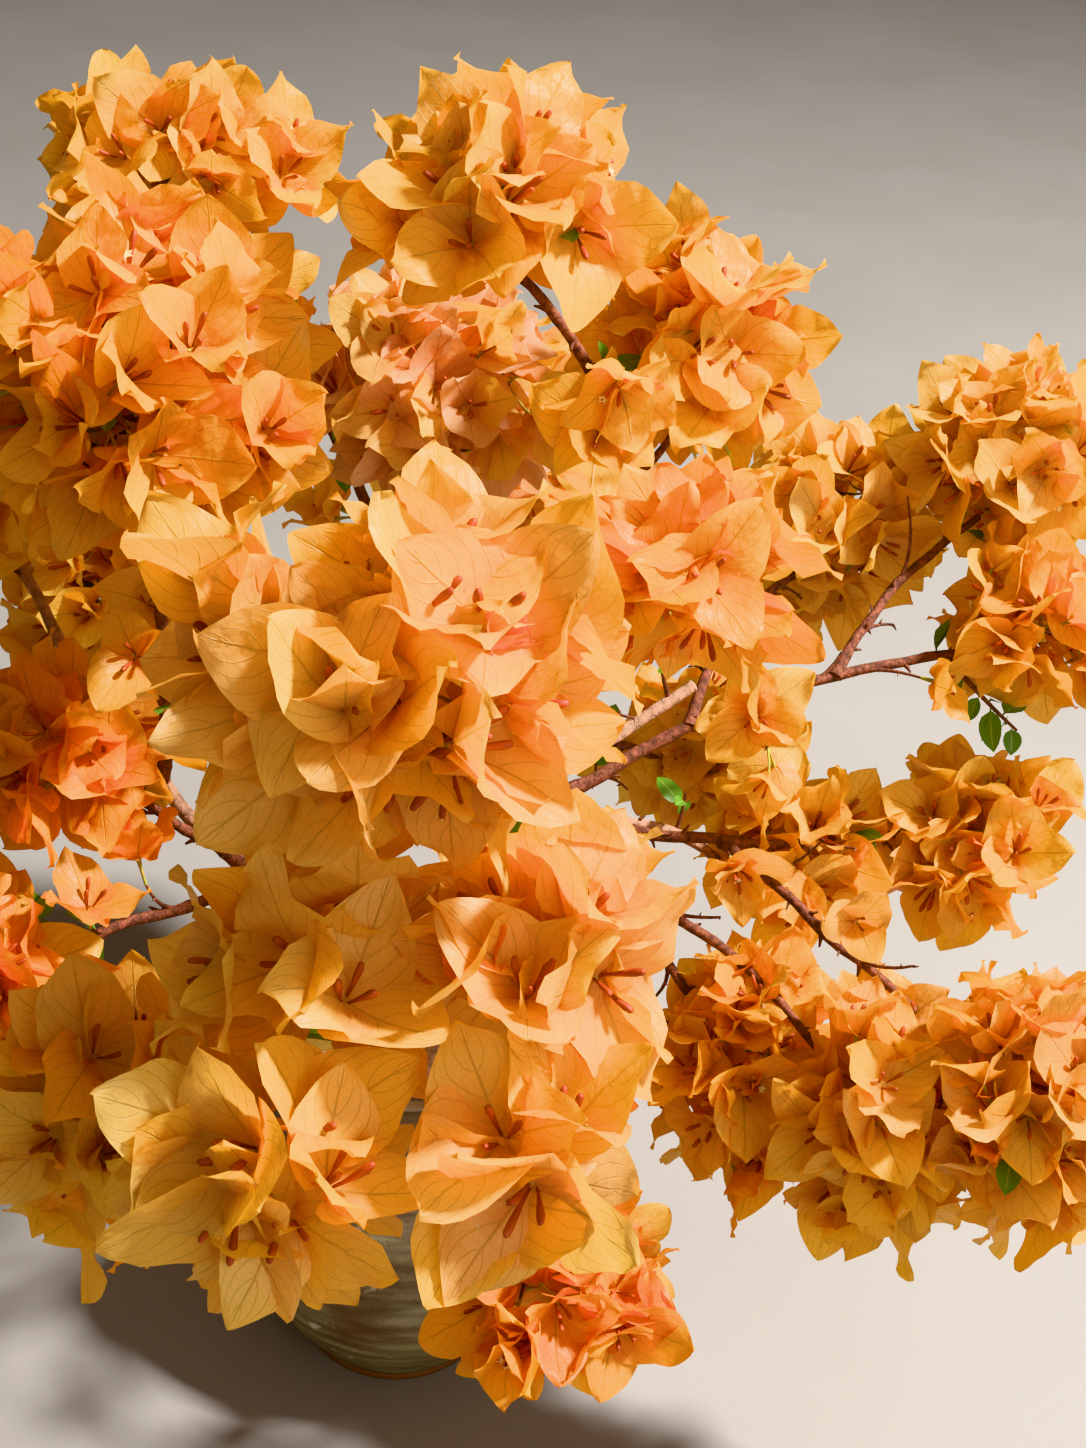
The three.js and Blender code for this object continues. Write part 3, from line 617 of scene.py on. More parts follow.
@lru_cache(maxsize=1)
def grow(sizes, spacing, share_in_flower):
    """Every spray's stem and flowers, and at last the loose flowers on the side twigs."""
    grown = []
    bearers = {bough.target: name for name, bough in BOUGHS.items()}
    for index, name in enumerate(SPRAYS):
        bough = bearers[name]
        stem = stem_curve(bough)
        flowers = grow_spray(name, index + 1, stem, sizes)
        grown.append(Spray(stem, BOUGHS[bough].radii[1], flowers))
    grown.append(Spray(None, None, loose_flowers(spacing, share_in_flower)))
    return grown


def growth(scene):
    b = scene.bush_blossom
    spacing = scene.bush_wood.side_twig_spacing / MM
    return grow((b.bract_scale, b.fullness, b.spacing), spacing, b.share_in_flower)


def all_flowers(scene):
    return [flower for spray in growth(scene) for flower in spray.flowers]


# Meshes, node trees and pieces

def add(tree, kind, inputs=None, **settings):
    """Adds a node with its settings, and sets or links its inputs."""
    made = tree.nodes.new(kind)
    made.location = (190 * (len(tree.nodes) % 12), -240 * (len(tree.nodes) // 12))
    for name, value in settings.items():
        setattr(made, name, value)
    for key, value in (inputs or {}).items():
        if isinstance(value, bpy.types.NodeSocket):
            tree.links.new(value, made.inputs[key])
        else:
            made.inputs[key].default_value = value
    return made


def wired(tree, kind, inputs=None, **settings):
    """The first output of a new node."""
    return add(tree, kind, inputs, **settings).outputs[0]


def point_layer(tree, name, kind):
    return wired(tree, "GeometryNodeInputNamedAttribute", {"Name": name}, data_type=kind)


def maths(tree, operation, *values):
    return wired(tree, "ShaderNodeMath", dict(enumerate(values)), operation=operation)


def new_tree(name, **inputs):
    """A Geometry Nodes tree whose named inputs are given with the types of their sockets."""
    tree = bpy.data.node_groups.new(name, "GeometryNodeTree")
    tree.interface.new_socket("Geometry", in_out="INPUT", socket_type="NodeSocketGeometry")
    tree.interface.new_socket("Geometry", in_out="OUTPUT", socket_type="NodeSocketGeometry")
    for label, kind in inputs.items():
        title = label.replace("_", " ").capitalize()
        tree.interface.new_socket(title, in_out="INPUT", socket_type=f"NodeSocket{kind}")
    return tree, add(tree, "NodeGroupInput").outputs


def close_tree(tree, geometry, material):
    smooth = wired(tree, "GeometryNodeSetShadeSmooth", {"Geometry": geometry})
    painted = wired(tree, "GeometryNodeSetMaterial", {"Geometry": smooth, "Material": material})
    add(tree, "NodeGroupOutput", {0: painted}, is_active_output=True)
    return tree


def through_tree(mesh, tree, **inputs):
    """The plain mesh that a tree makes of a mesh."""
    carrier = bpy.data.objects.new("carrier", mesh)
    bpy.context.scene.collection.objects.link(carrier)
    modifier = carrier.modifiers.new(tree.name, "NODES")
    modifier.node_group = tree
    names = {s.name: s.identifier for s in tree.interface.items_tree if s.in_out == "INPUT"}
    for label, value in inputs.items():
        modifier[names[label.replace("_", " ").capitalize()]] = value
    depsgraph = bpy.context.evaluated_depsgraph_get()
    made = bpy.data.meshes.new_from_object(carrier.evaluated_get(depsgraph), depsgraph=depsgraph)
    bpy.data.objects.remove(carrier)
    bpy.data.meshes.remove(mesh)
    if not made.polygons:
        raise RuntimeError(f"{tree.name} made no faces")
    made.materials.clear()
    made.materials.append(inputs["material"])
    made.polygons.foreach_set("material_index", [0] * len(made.polygons))
    return made


def mesh_of(name, points, faces, uv=None):
    """A mesh from points in millimetres, with doubles merged."""
    mesh = bpy.data.meshes.new(name)
    mesh.from_pydata([tuple(Vector(p) * MM) for p in points], [], faces)
    if uv:
        layer = mesh.uv_layers.new(name="UVMap")
        for loop in mesh.loops:
            layer.data[loop.index].uv = uv[loop.vertex_index]
    bm = bmesh.new()
    bm.from_mesh(mesh)
    bmesh.ops.remove_doubles(bm, verts=bm.verts, dist=1e-7)
    bmesh.ops.dissolve_degenerate(bm, edges=bm.edges, dist=1e-7)
    bm.to_mesh(mesh)
    bm.free()
    mesh.polygons.foreach_set("use_smooth", [True] * len(mesh.polygons))
    return mesh


def grid_faces(rows, columns, wrap=False):
    """Quads of a grid of rows by columns of faces, points laid row by row."""
    width = columns if wrap else columns + 1
    faces = []
    for i in range(rows):
        for j in range(columns):
            a, b = i * width + j, i * width + (j + 1) % width
            faces.append((a, b, b + width, a + width))
    return faces


def capped(bands, sides):
    """Faces of bands of quads round a row of rings, with a cap at each end."""
    first, last = range(sides), range(bands * sides, (bands + 1) * sides)
    return grid_faces(bands, sides, wrap=True) + [tuple(first)[::-1], tuple(last)]


def blade_grid(rows, columns, place, spacing=lambda share: share):
    """Points and UVs of a blade of unit length. A point is placed by how far it lies across, from -1
    to 1, and along."""
    points, uv = [], []
    for i in range(rows + 1):
        v = spacing(i / rows)
        for j in range(columns + 1):
            u = 2 * j / columns - 1
            points.append(Vector(place(u, v)) / MM)
            uv.append(((u + 1) / 2, v))
    return points, uv


def turned(profile, sides, offset=None):
    """Points and faces of a profile of radius and height turned on the Z axis, closed at both ends."""
    points = []
    for r, z in profile:
        for j in range(sides):
            p = round_axis(math.tau * j / sides, r, z)
            points.append(offset(p) if offset else p)
    return points, grid_faces(len(profile) - 1, sides, wrap=True)


def piece(name, mesh, slot, nodes=()):
    """A finished piece that rides on the bush and stands for the nodes."""
    made = bpy.data.objects.new(name, mesh)
    mesh.name = name
    bpy.context.scene.collection.objects.link(made)
    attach(made, "root")
    if nodes:
        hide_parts(*nodes)
    return made


def point_cloud(places, **layers):
    """A mesh of bare points in millimetres, with a float, integer or vector layer for each name."""
    mesh = bpy.data.meshes.new("places")
    mesh.from_pydata([tuple(p * MM) for p in places], [], [])
    for label, values in layers.items():
        first = values[0]
        vector = not isinstance(first, (int, float))
        kind = "FLOAT_VECTOR" if vector else "INT" if isinstance(first, int) else "FLOAT"
        made = mesh.attributes.new(label, kind, "POINT")
        flat = [x for v in values for x in v] if vector else list(values)
        made.data.foreach_set("vector" if vector else "value", flat)
    return mesh


def scatter_tree():
    """Puts a shape from a collection on each point, turned and sized by the point's layers."""
    tree, given = new_tree("Scatter shapes", shapes="Collection", size="Float", material="Material")
    shapes = wired(tree, "GeometryNodeCollectionInfo", {
        "Collection": given["Shapes"], "Separate Children": True, "Reset Children": True,
    })
    turn = point_layer(tree, "turn", "FLOAT_VECTOR")
    placed = wired(tree, "GeometryNodeInstanceOnPoints", {
        "Points": given["Geometry"], "Instance": shapes, "Pick Instance": True,
        "Instance Index": point_layer(tree, "shape", "INT"),
        "Rotation": wired(tree, "FunctionNodeEulerToRotation", {0: turn}),
        "Scale": maths(tree, "MULTIPLY", point_layer(tree, "size", "FLOAT"), given["Size"]),
    })
    return close_tree(tree, wired(tree, "GeometryNodeRealizeInstances", {0: placed}), given["Material"])


def raised_bark(tree, given, geometry):
    """Moves each point along its normal by noise as wide as the ridges."""
    waves = wired(tree, "ShaderNodeTexNoise", {
        "Vector": wired(tree, "GeometryNodeInputPosition"), "W": given["Seed"],
        "Scale": maths(tree, "DIVIDE", 1.0, given["Ridge"]), "Detail": 3.0,
    }, noise_dimensions="4D")
    height = maths(tree, "MULTIPLY", maths(tree, "SUBTRACT", waves, 0.5), given["Relief"])
    normal = wired(tree, "GeometryNodeInputNormal")
    push = wired(tree, "ShaderNodeVectorMath", {0: normal, "Scale": height}, operation="SCALE")
    return wired(tree, "GeometryNodeSetPosition", {"Geometry": geometry, "Offset": push})


def limb_tree():
    """Skins lines with a round limb of the points' thickness, and raises bark on it."""
    tree, given = new_tree("Limbs with bark", sides="Int", step="Float", relief="Float", ridge="Float",
                           seed="Float", material="Material")
    thick = point_layer(tree, "thickness", "FLOAT")
    lines = wired(tree, "GeometryNodeMeshToCurve", {0: given["Geometry"]})
    even = wired(tree, "GeometryNodeResampleCurve", {"Curve": lines, "Length": given["Step"]}, mode="LENGTH")
    ring = wired(tree, "GeometryNodeCurvePrimitiveCircle", {"Resolution": given["Sides"], "Radius": 1.0})
    skin = wired(tree, "GeometryNodeCurveToMesh", {
        "Curve": even, "Profile Curve": ring, "Scale": thick, "Fill Caps": True,
    })
    return close_tree(tree, raised_bark(tree, given, skin), given["Material"])


def bark_tree():
    """Raises bark on a mesh as it is."""
    tree, given = new_tree("Bark", relief="Float", ridge="Float", seed="Float", material="Material")
    return close_tree(tree, raised_bark(tree, given, given["Geometry"]), given["Material"])


class Shapes:
    """A hidden collection of shapes for a scatter tree, gone when the tree has run."""

    def __init__(self, meshes):
        self.meshes = meshes

    def __enter__(self):
        self.collection = bpy.data.collections.new("shapes")
        for i, mesh in enumerate(self.meshes):
            self.collection.objects.link(bpy.data.objects.new(f"shape_{i:02d}", mesh))
        return self.collection

    def __exit__(self, *error):
        for made in list(self.collection.objects):
            bpy.data.objects.remove(made)
        bpy.data.collections.remove(self.collection)
        for mesh in self.meshes:
            bpy.data.meshes.remove(mesh)


def scattered(shapes, strewn, material):
    """One joined mesh of shapes, strewn by rows of place, turn, size, number of the shape and, where
    the material asks for it, shade."""
    places, *values = zip(*strewn)
    with Shapes(shapes) as collection:
        mesh = point_cloud(places, **dict(zip(("turn", "size", "shape", "shade"), values)))
        made = through_tree(mesh, scatter_tree(), shapes=collection, size=1.0, material=material)
    for name in ("turn", "size", "shape"):
        if name in made.attributes:
            made.attributes.remove(made.attributes[name])
    return made


def line_mesh(lines):
    """A mesh of edges along rows of (point in millimetres, radius in millimetres)."""
    points, edges, radii = [], [], []
    for line in lines:
        start = len(points)
        for place, radius in line:
            points.append(tuple(place * MM))
            radii.append(radius * MM)
        edges += [(i, i + 1) for i in range(start, len(points) - 1)]
    mesh = bpy.data.meshes.new("lines")
    mesh.from_pydata(points, edges, [])
    mesh.attributes.new("thickness", "FLOAT", "POINT").data.foreach_set("value", radii)
    return mesh


# Materials

def new_material(name):
    material = bpy.data.materials.new(name)
    material.use_nodes = True
    return material, material.node_tree


def spot(tree, scale=(1, 1, 1)):
    """Object coordinates in metres, stretched by a scale."""
    where = add(tree, "ShaderNodeTexCoord").outputs["Object"]
    return wired(tree, "ShaderNodeMapping", {"Vector": where, "Scale": scale})


def clouded(tree, scale, detail, where=None, roughness=0.5):
    """Noise over object coordinates, or over another place."""
    return wired(tree, "ShaderNodeTexNoise", {
        "Vector": spot(tree) if where is None else where,
        "Scale": scale, "Detail": detail, "Roughness": roughness,
    })


def cells(tree, scale, where, **settings):
    """Distance from the middles of cells, or from their edges."""
    made = add(tree, "ShaderNodeTexVoronoi", {"Vector": where, "Scale": scale}, **settings)
    return made.outputs["Distance"]


def mix(tree, factor, a, b):
    return add(tree, "ShaderNodeMix", {0: factor, 6: a, 7: b}, data_type="RGBA").outputs[2]


def ranged(tree, value, low, high, to_low=0.0, to_high=1.0):
    return wired(tree, "ShaderNodeMapRange", {
        "Value": value, "From Min": low, "From Max": high, "To Min": to_low, "To Max": to_high,
    })


def bumped(tree, height, strength, distance):
    return wired(tree, "ShaderNodeBump", {"Height": height, "Strength": strength, "Distance": distance})


def shade(colour, factor=1):
    return (*(min(c * factor, 1) for c in colour[:3]), 1)


def surface(tree, body, roughness, bump=None, ior=1.5):
    """Gives the shader its colour, gloss and bump."""
    shader = tree.nodes["Principled BSDF"]
    for name, value in {"Base Color": body, "Roughness": roughness, "Normal": bump, "IOR": ior}.items():
        if isinstance(value, bpy.types.NodeSocket):
            tree.links.new(value, shader.inputs[name])
        elif value is not None:
            shader.inputs[name].default_value = value
    return shader.outputs[0]


def let_through(tree, face, share, glow, bump=None):
    """Lets a share of the light come through a thin blade, coloured by the glow."""
    inputs = {"Color": glow, "Normal": bump} if bump else {"Color": glow}
    through = wired(tree, "ShaderNodeBsdfTranslucent", inputs)
    both = wired(tree, "ShaderNodeMixShader", {0: share, 1: face, 2: through})
    tree.links.new(both, tree.nodes["Material Output"].inputs["Surface"])


def over_blade(tree):
    """A blade's own coordinates, how far a point lies along it, and how far beside its midrib."""
    uv = add(tree, "ShaderNodeTexCoord").outputs["UV"]
    parts = add(tree, "ShaderNodeSeparateXYZ", {0: uv}).outputs
    return uv, parts[1], maths(tree, "ABSOLUTE", maths(tree, "SUBTRACT", parts[0], 0.5))


def papery_bract(name, colour):
    """Thin dry bract: brighter where light falls on it than where light comes through, with painted
    shade that deepens and reddens it towards its foot, where bracts overlap, and ribs and a fine net
    of veins a little darker than the rest."""
    material, tree = new_material(name)
    uv, along, aside = over_blade(tree)
    midrib = ranged(tree, aside, 0.003, 0.02, 1, 0)
    # Four side veins leave the midrib on each side, about 12 mm apart, and bend towards the point.
    slant = maths(tree, "MULTIPLY", maths(tree, "POWER", aside, 1.4), 1.9)
    phase = maths(tree, "FRACT", maths(tree, "MULTIPLY", maths(tree, "SUBTRACT", along, slant), 4.3))
    side = ranged(tree, maths(tree, "ABSOLUTE", maths(tree, "SUBTRACT", phase, 0.5)), 0.015, 0.06, 0.55, 0)
    # The net between them has meshes of about 3 mm.
    net = cells(tree, 14.0, uv, feature="DISTANCE_TO_EDGE", voronoi_dimensions="2D")
    ribs = maths(tree, "MAXIMUM", midrib, side)
    veins = maths(tree, "MAXIMUM", ribs, ranged(tree, net, 0.01, 0.07, 0.45, 0))
    veiling = maths(tree, "MULTIPLY", veins, 0.5)
    # Painted shade: the colour grows deeper and redder towards the bract's foot, where bracts overlap.
    foot = ranged(tree, along, 0.0, 0.42, 0.5, 0)
    tone = add(tree, "ShaderNodeAttribute", attribute_name="shade").outputs["Fac"]

    def coloured(flesh):
        plain = mix(tree, tone, shade(flesh, 0.92), shade(flesh, 1.06))
        # The deeper, redder colour of the painted shade at the foot.
        painted_overlap_shade = (flesh[0] * 0.86, flesh[1] * 0.55, flesh[2] * 0.4, 1)
        return mix(tree, veiling, mix(tree, foot, plain, painted_overlap_shade), shade(flesh, 0.5))

    raised = maths(tree, "ADD", maths(tree, "MULTIPLY", ribs, 0.4), clouded(tree, 150.0, 2.0))
    bump = bumped(tree, raised, 0.85, 0.0011)
    face = surface(tree, coloured([c ** 0.64 for c in colour]), 0.42, bump, 1.45)
    let_through(tree, face, 0.52, coloured(colour), bump)
    return material


def waxy_leaf(name, colour):
    """Smooth green leaf: a soft gloss above, a pale midrib, and light through the blade."""
    material, tree = new_material(name)
    _, _, aside = over_blade(tree)
    midrib = ranged(tree, aside, 0.01, 0.04, 1, 0)
    green = mix(tree, clouded(tree, 60.0, 2.0), shade(colour, 0.7), shade(colour, 1.35))
    body = mix(tree, maths(tree, "MULTIPLY", midrib, 0.6), green, linear(0xB9C878, 1))
    let_through(tree, surface(tree, body, 0.36, ior=1.45), 0.3, body)
    return material


def bark(name, colour, pale, grain):
    """Dry bark: grey skin over brown in patches a few millimetres wide, matt and cracked."""
    material, tree = new_material(name)
    patches = clouded(tree, 1 / grain, 5.0)
    cracks = cells(tree, 1.6 / grain, spot(tree, (1, 1, 0.35)), feature="DISTANCE_TO_EDGE")
    skin = mix(tree, ranged(tree, patches, 0.38, 0.62), shade(colour, 0.6), shade(colour, pale))
    groove = ranged(tree, cracks, 0.0, 0.08, 0.6, 0)
    bump = bumped(tree, maths(tree, "SUBTRACT", patches, groove), 0.6, 0.0008)
    surface(tree, mix(tree, groove, skin, shade(colour, 0.34)), 0.82, bump)
    return material


def ash_glazed_stoneware(glaze, clay, ring_pitch):
    """Wheel-thrown stoneware under a thin ash glaze: olive streaks run round it, the glaze lies
    darker in the throwing rings and greener low down, iron specks show through, and the clay is bare
    and brown at the foot."""
    material, tree = new_material("ash_glazed_stoneware")
    where = add(tree, "ShaderNodeTexCoord").outputs["Object"]
    x, y, z = add(tree, "ShaderNodeSeparateXYZ", {0: where}).outputs
    turn = maths(tree, "ARCTAN2", y, x)
    around = wired(tree, "ShaderNodeCombineXYZ", {
        0: maths(tree, "MULTIPLY", maths(tree, "COSINE", turn), 0.02),
        1: maths(tree, "MULTIPLY", maths(tree, "SINE", turn), 0.02), 2: z,
    })
    # Streaks lie round the jar, about 10 mm high and many wide.
    streaks = clouded(tree, 95.0, 4.0, around, 0.55)
    rings = maths(tree, "COSINE", maths(tree, "MULTIPLY", z, math.tau / ring_pitch))
    clouds = clouded(tree, 26.0, 4.0, where)
    blots = clouded(tree, 55.0, 3.0, where)
    specks = cells(tree, 330.0, where)
    body = mix(tree, ranged(tree, clouds, 0.35, 0.68), shade(clay), shade(glaze))
    for share, over in (
        (ranged(tree, z, 0.05, 0.02, 0, 0.55), linear(0x84866A, 1)),           # the greener low band
        (ranged(tree, streaks, 0.46, 0.64, 0, 0.7), shade(glaze, 1.5)),        # pale streaks
        (ranged(tree, rings, -0.4, 1.0, 0, 0.42), shade(clay, 0.55)),          # throwing rings
        (ranged(tree, streaks, 0.46, 0.34, 0, 0.55), shade(clay, 0.5)),        # dark streaks
        (ranged(tree, blots, 0.63, 0.68, 0, 0.75), linear(0xC9C2AC, 1)),       # mineral bloom
        (ranged(tree, specks, 0.1, 0.2, 0.75, 0), linear(0x2E241B, 1)),        # iron specks
        (ranged(tree, z, 0.007, 0.011, 1, 0), linear(0x6E4930, 1)),            # the bare foot
        (ranged(tree, z, 0.2405, 0.2445, 0, 0.85), linear(0xA69E8F, 1)),       # the pale lip
    ):
        body = mix(tree, share, body, over)
    bump = bumped(tree, maths(tree, "ADD", streaks, clouds), 0.5, 0.0009)
    surface(tree, body, ranged(tree, clouds, 0.3, 0.7, 0.62, 0.38), bump)
    return material


def damp_soil(name, colour, light):
    """Damp peat and bark: dark, rough and grainy, with paler crumbs."""
    material, tree = new_material(name)
    grains = ranged(tree, clouded(tree, 260.0, 6.0), 0.35, 0.65)
    body = mix(tree, grains, shade(colour, 0.45), shade(colour, light))
    surface(tree, body, 0.95, bumped(tree, cells(tree, 210.0, spot(tree)), 0.8, 0.002))
    return material


def soft_skin(name, colour, far, roughness):
    """Thin plant skin whose colour drifts over a few millimetres."""
    material, tree = new_material(name)
    drift = ranged(tree, clouded(tree, 90.0, 2.0), 0.35, 0.65)
    surface(tree, mix(tree, drift, shade(colour), linear(far, 1)), roughness)
    return material


def limewashed_floor():
    """Pale limewashed screed: nearly even, with a faint cloudiness and a fine tooth."""
    material, tree = new_material("limewashed_floor")
    clouds = ranged(tree, clouded(tree, 3.5, 5.0), 0.3, 0.7)
    body = mix(tree, clouds, linear(0x8A8987, 1), linear(0x8F8E8D, 1))
    surface(tree, body, 0.85, bumped(tree, clouded(tree, 260.0, 3.0), 0.25, 0.0006))
    return material


# Jar and soil

def catmull(points, share):
    """A smooth line through points, as the part's source draws the jar's outline."""
    place = share * (len(points) - 1)
    i = min(int(place), len(points) - 2)
    t = place - i
    p = [points[max(i - 1, 0)], points[i], points[i + 1], points[min(i + 2, len(points) - 1)]]
    made = []
    for k in (0, 1):
        a, b, c, d = (q[k] for q in p)
        v0, v1 = (c - a) / 2, (d - b) / 2
        cube = (2 * b - 2 * c + v0 + v1) * t ** 3
        square = (-3 * b + 3 * c - 2 * v0 - v1) * t ** 2
        made.append(cube + square + v0 * t + b)
    return made


def jar_outline(steps):
    ends = [FOOT, BELLY, SHOULDER, NECK, (RIM_RADIUS, JAR_HEIGHT - RIM_ROUNDING)]
    return [catmull(ends, i / steps) for i in range(steps + 1)]


def jar_profile(pitch, depth):
    """The jar's half section: bare foot, ringed outside, rounded rim, plain inside."""
    fade_low, fade_high, lip_steps = 14, 18, 8
    outside = []
    for r, z in jar_outline(120):
        fade = min((z - FOOT[1]) / fade_low, 1, max((NECK[1] + 6 - z) / fade_high, 0))
        outside.append((r - depth * fade * (0.5 + 0.5 * math.cos(math.tau * z / pitch)), z))
    outline = jar_outline(60)
    inside = []
    for (r0, z0), (r, z), (r1, z1) in zip(outline, outline[1:], outline[2:]):
        run = math.hypot(r1 - r0, z1 - z0)
        inward = (r - (z1 - z0) / run * WALL, z + (r1 - r0) / run * WALL)
        if JAR_FLOOR < inward[1] < JAR_HEIGHT - RIM_ROUNDING:
            inside.append(inward)
    lip_middle = (RIM_RADIUS + inside[-1][0]) / 2
    lip_half = (RIM_RADIUS - inside[-1][0]) / 2
    lip = []
    for i in range(1, lip_steps):
        turn = math.pi * i / lip_steps
        lip.append((lip_middle + lip_half * math.cos(turn), JAR_HEIGHT - RIM_ROUNDING * (1 - math.sin(turn))))
    foot = [(0, 1.5), (FOOT[0] - 14, 1.5), (FOOT[0] - 11, 0.2), (FOOT[0] - 9, 0), (FOOT[0] - 1, 0)]
    foot += [(FOOT[0], 1), (FOOT[0], FOOT[1] - 0.6), (FOOT[0] - 0.5, FOOT[1] - 0.2)]
    return foot + outside + lip + inside[::-1] + [(0, JAR_FLOOR)], inside


class BUSH_OT_jar(bpy.types.Operator):
    """Turns the stoneware jar, with its throwing rings"""
    bl_idname = "bush.jar"
    bl_label = "Jar"

    def execute(self, context):
        jar = context.scene.bush_jar
        scale = jar.height / (JAR_HEIGHT * MM)
        profile, _ = jar_profile(jar.ring_pitch / MM, jar.ring_depth / MM)
        points, faces = turned([(r, z * scale) for r, z in profile], jar.sides)
        mesh = mesh_of("stoneware_jar", points, faces)
        mesh.materials.append(ash_glazed_stoneware(jar.glaze, jar.bare_clay, jar.ring_pitch))
        piece("stoneware_jar", mesh, "stoneware", ["planter_jar"])
        return {"FINISHED"}


class BUSH_OT_soil(bpy.types.Operator):
    """Fills the jar with potting soil and strews bark chips on it"""
    bl_idname = "bush.soil"
    bl_label = "Potting soil"

    def execute(self, context):
        jar = context.scene.bush_jar
        _, inside = jar_profile(jar.ring_pitch / MM, 0)
        wall = [(r - RESTING_GAP, z) for r, z in inside if z < SOIL_TOP - 3]
        edge = min(inside, key=lambda p: abs(p[1] - SOIL_TOP))[0] - RESTING_GAP
        steps = 22
        top = [(edge * (1 - i / steps), SOIL_TOP - 1) for i in range(steps + 1)]

        def crumbled(p):
            if p.z < SOIL_TOP - 2:
                return p
            lumps = noise.fractal(p * 0.09, 1, 2, 4) * 2.6
            return p + UP * lumps * min((edge - Vector((p.x, p.y)).length) / 8 + 0.25, 1)

        points, faces = turned([(0, JAR_FLOOR + RESTING_GAP)] + wall + top, 96, crumbled)
        mesh = mesh_of("soil", points, faces)
        mesh.materials.append(damp_soil("damp_potting_soil", jar.soil, 1.5))
        piece("soil", mesh, "soil", ["potting_soil"])

        draw = seeded_row(71)
        lumps, strewn = [], []
        for k in range(6):
            bm = bmesh.new()
            bmesh.ops.create_icosphere(bm, subdivisions=2, radius=0.5)
            flat = Vector((1, lerp(0.5, 0.8, draw()), lerp(0.25, 0.5, draw())))
            for v in bm.verts:
                v.co *= 1 + 0.35 * noise.noise(v.co * 3 + Vector((k * 7, 0, 0)))
                v.co *= flat
            lump = bpy.data.meshes.new(f"chip_{k}")
            bm.to_mesh(lump)
            bm.free()
            lumps.append(lump)
        for _ in range(jar.chips):
            size = jar.chip_size / MM * lerp(0.45, 1.5, draw() ** 2)
            reach = (edge - size * 0.7) * math.sqrt(draw())
            place = round_axis(draw() * math.tau, reach, SOIL_TOP - 0.6)
            turn = ((draw() - 0.5) * 0.9, (draw() - 0.5) * 0.9, draw() * math.tau)
            strewn.append((place, turn, size * MM, int(draw() * len(lumps))))
        chips = scattered(lumps, strewn, damp_soil("composted_bark_chips", linear(0x6A4330), 1.7))
        piece("bark_chips", chips, "soil")
        return {"FINISHED"}


# Wood

def trunk_mesh(rings=54, sides=44):
    """The trunk: level rings up a leaning line, the lowest drawn out into root lobes."""
    curve = trunk_curve()
    points = []
    for i in range(rings + 1):
        share = (i / rings) ** 1.3
        middle = on_curve(curve, share)
        flare = FLARE_RADIUS * math.exp(-(middle.z - SOIL_TOP) / FLARE_HEIGHT)
        plain = lerp(*TRUNK_RADII, share)
        for j in range(sides):
            turn = math.tau * j / sides
            lobe = 1 + FLARE_LOBE_DEPTH * math.cos(FLARE_LOBES * turn) * flare / FLARE_RADIUS
            flute = 1 + FLUTE_DEPTH * math.sin(3 * turn + share * 5)
            radius = (plain + flare) * lobe * flute
            points.append(middle + round_axis(turn, radius, 0))
    return mesh_of("trunk", points, capped(rings, sides))


def limb_line(name):
    """Points and radii along a bough: a collar at its root, a swelling at each joint, small kinks."""
    curve = bough_curve(name)
    root, tip = BOUGHS[name].radii
    length = curve_length(curve)
    draw = seeded_row(sum(map(ord, name)))
    steps = max(8, round(length / 5))
    joint = lerp(*JOINT_SPACING, draw())
    line = []
    for i in range(steps + 1):
        share = i / steps
        along = share * length
        swelling = JOINT_SWELLING * math.exp(-((along % joint - joint / 2) / JOINT_WIDTH) ** 2)
        collar = COLLAR_SWELLING * math.exp(-along / COLLAR_LENGTH)
        place = on_curve(curve, share)
        sway = Vector([noise.noise(place * 0.03 + Vector((k * 19, 0, 0))) for k in range(3)])
        place += sway * KINK * min(along / KINK_FREE_ENDS, 1) * min((length - along) / KINK_FREE_ENDS, 1)
        line.append((place, lerp(root, tip, share) * (1 + swelling + collar)))
    return line


class BUSH_OT_wood(bpy.types.Operator):
    """Grows the trunk and the boughs, with the bark's relief"""
    bl_idname = "bush.wood"
    bl_label = "Trunk and boughs"

    def execute(self, context):
        wood = context.scene.bush_wood
        old = bark("weathered_old_bark", wood.old_bark, 1.25, 0.006)
        young = bark("red_brown_young_bark", wood.young_bark, 1.7, 0.004)
        trunk = through_tree(trunk_mesh(), bark_tree(), relief=wood.relief * 2, ridge=wood.ridge * 1.6,
                             seed=3.0, material=old)
        piece("trunk_with_bark", trunk, "old_bark", ["trunk"])
        kinds = {"old_boughs": ([n for n in BOUGHS if n in OLD_WOOD], old, "old_bark"),
                 "young_boughs": ([n for n in BOUGHS if n not in OLD_WOOD], young, "young_bark")}
        for name, (names, material, slot) in kinds.items():
            mesh = line_mesh([limb_line(n) for n in names])
            skin = through_tree(mesh, limb_tree(), sides=wood.sides, step=wood.step, relief=wood.relief,
                                ridge=wood.ridge, seed=5.0, material=material)
            piece(name, skin, slot, names)

        (inner, _), (end, radius) = limb_line("pruned_stub")[-2:]
        turn = upright((end - inner).normalized())
        profile = [(0, -1), (radius * 0.9, -1), (radius * 1.06, 0.2), (radius * 0.8, 0.7), (0, 0.5)]
        points, faces = turned(profile, 16, lambda p: end + turn @ p)
        cut = mesh_of("cut_end", points, faces)
        cut.materials.append(soft_skin("pale_cut_wood", linear(0xD9C3A0), 0xA88660, 0.75))
        piece("cut_end", cut, "old_bark")
        return {"FINISHED"}


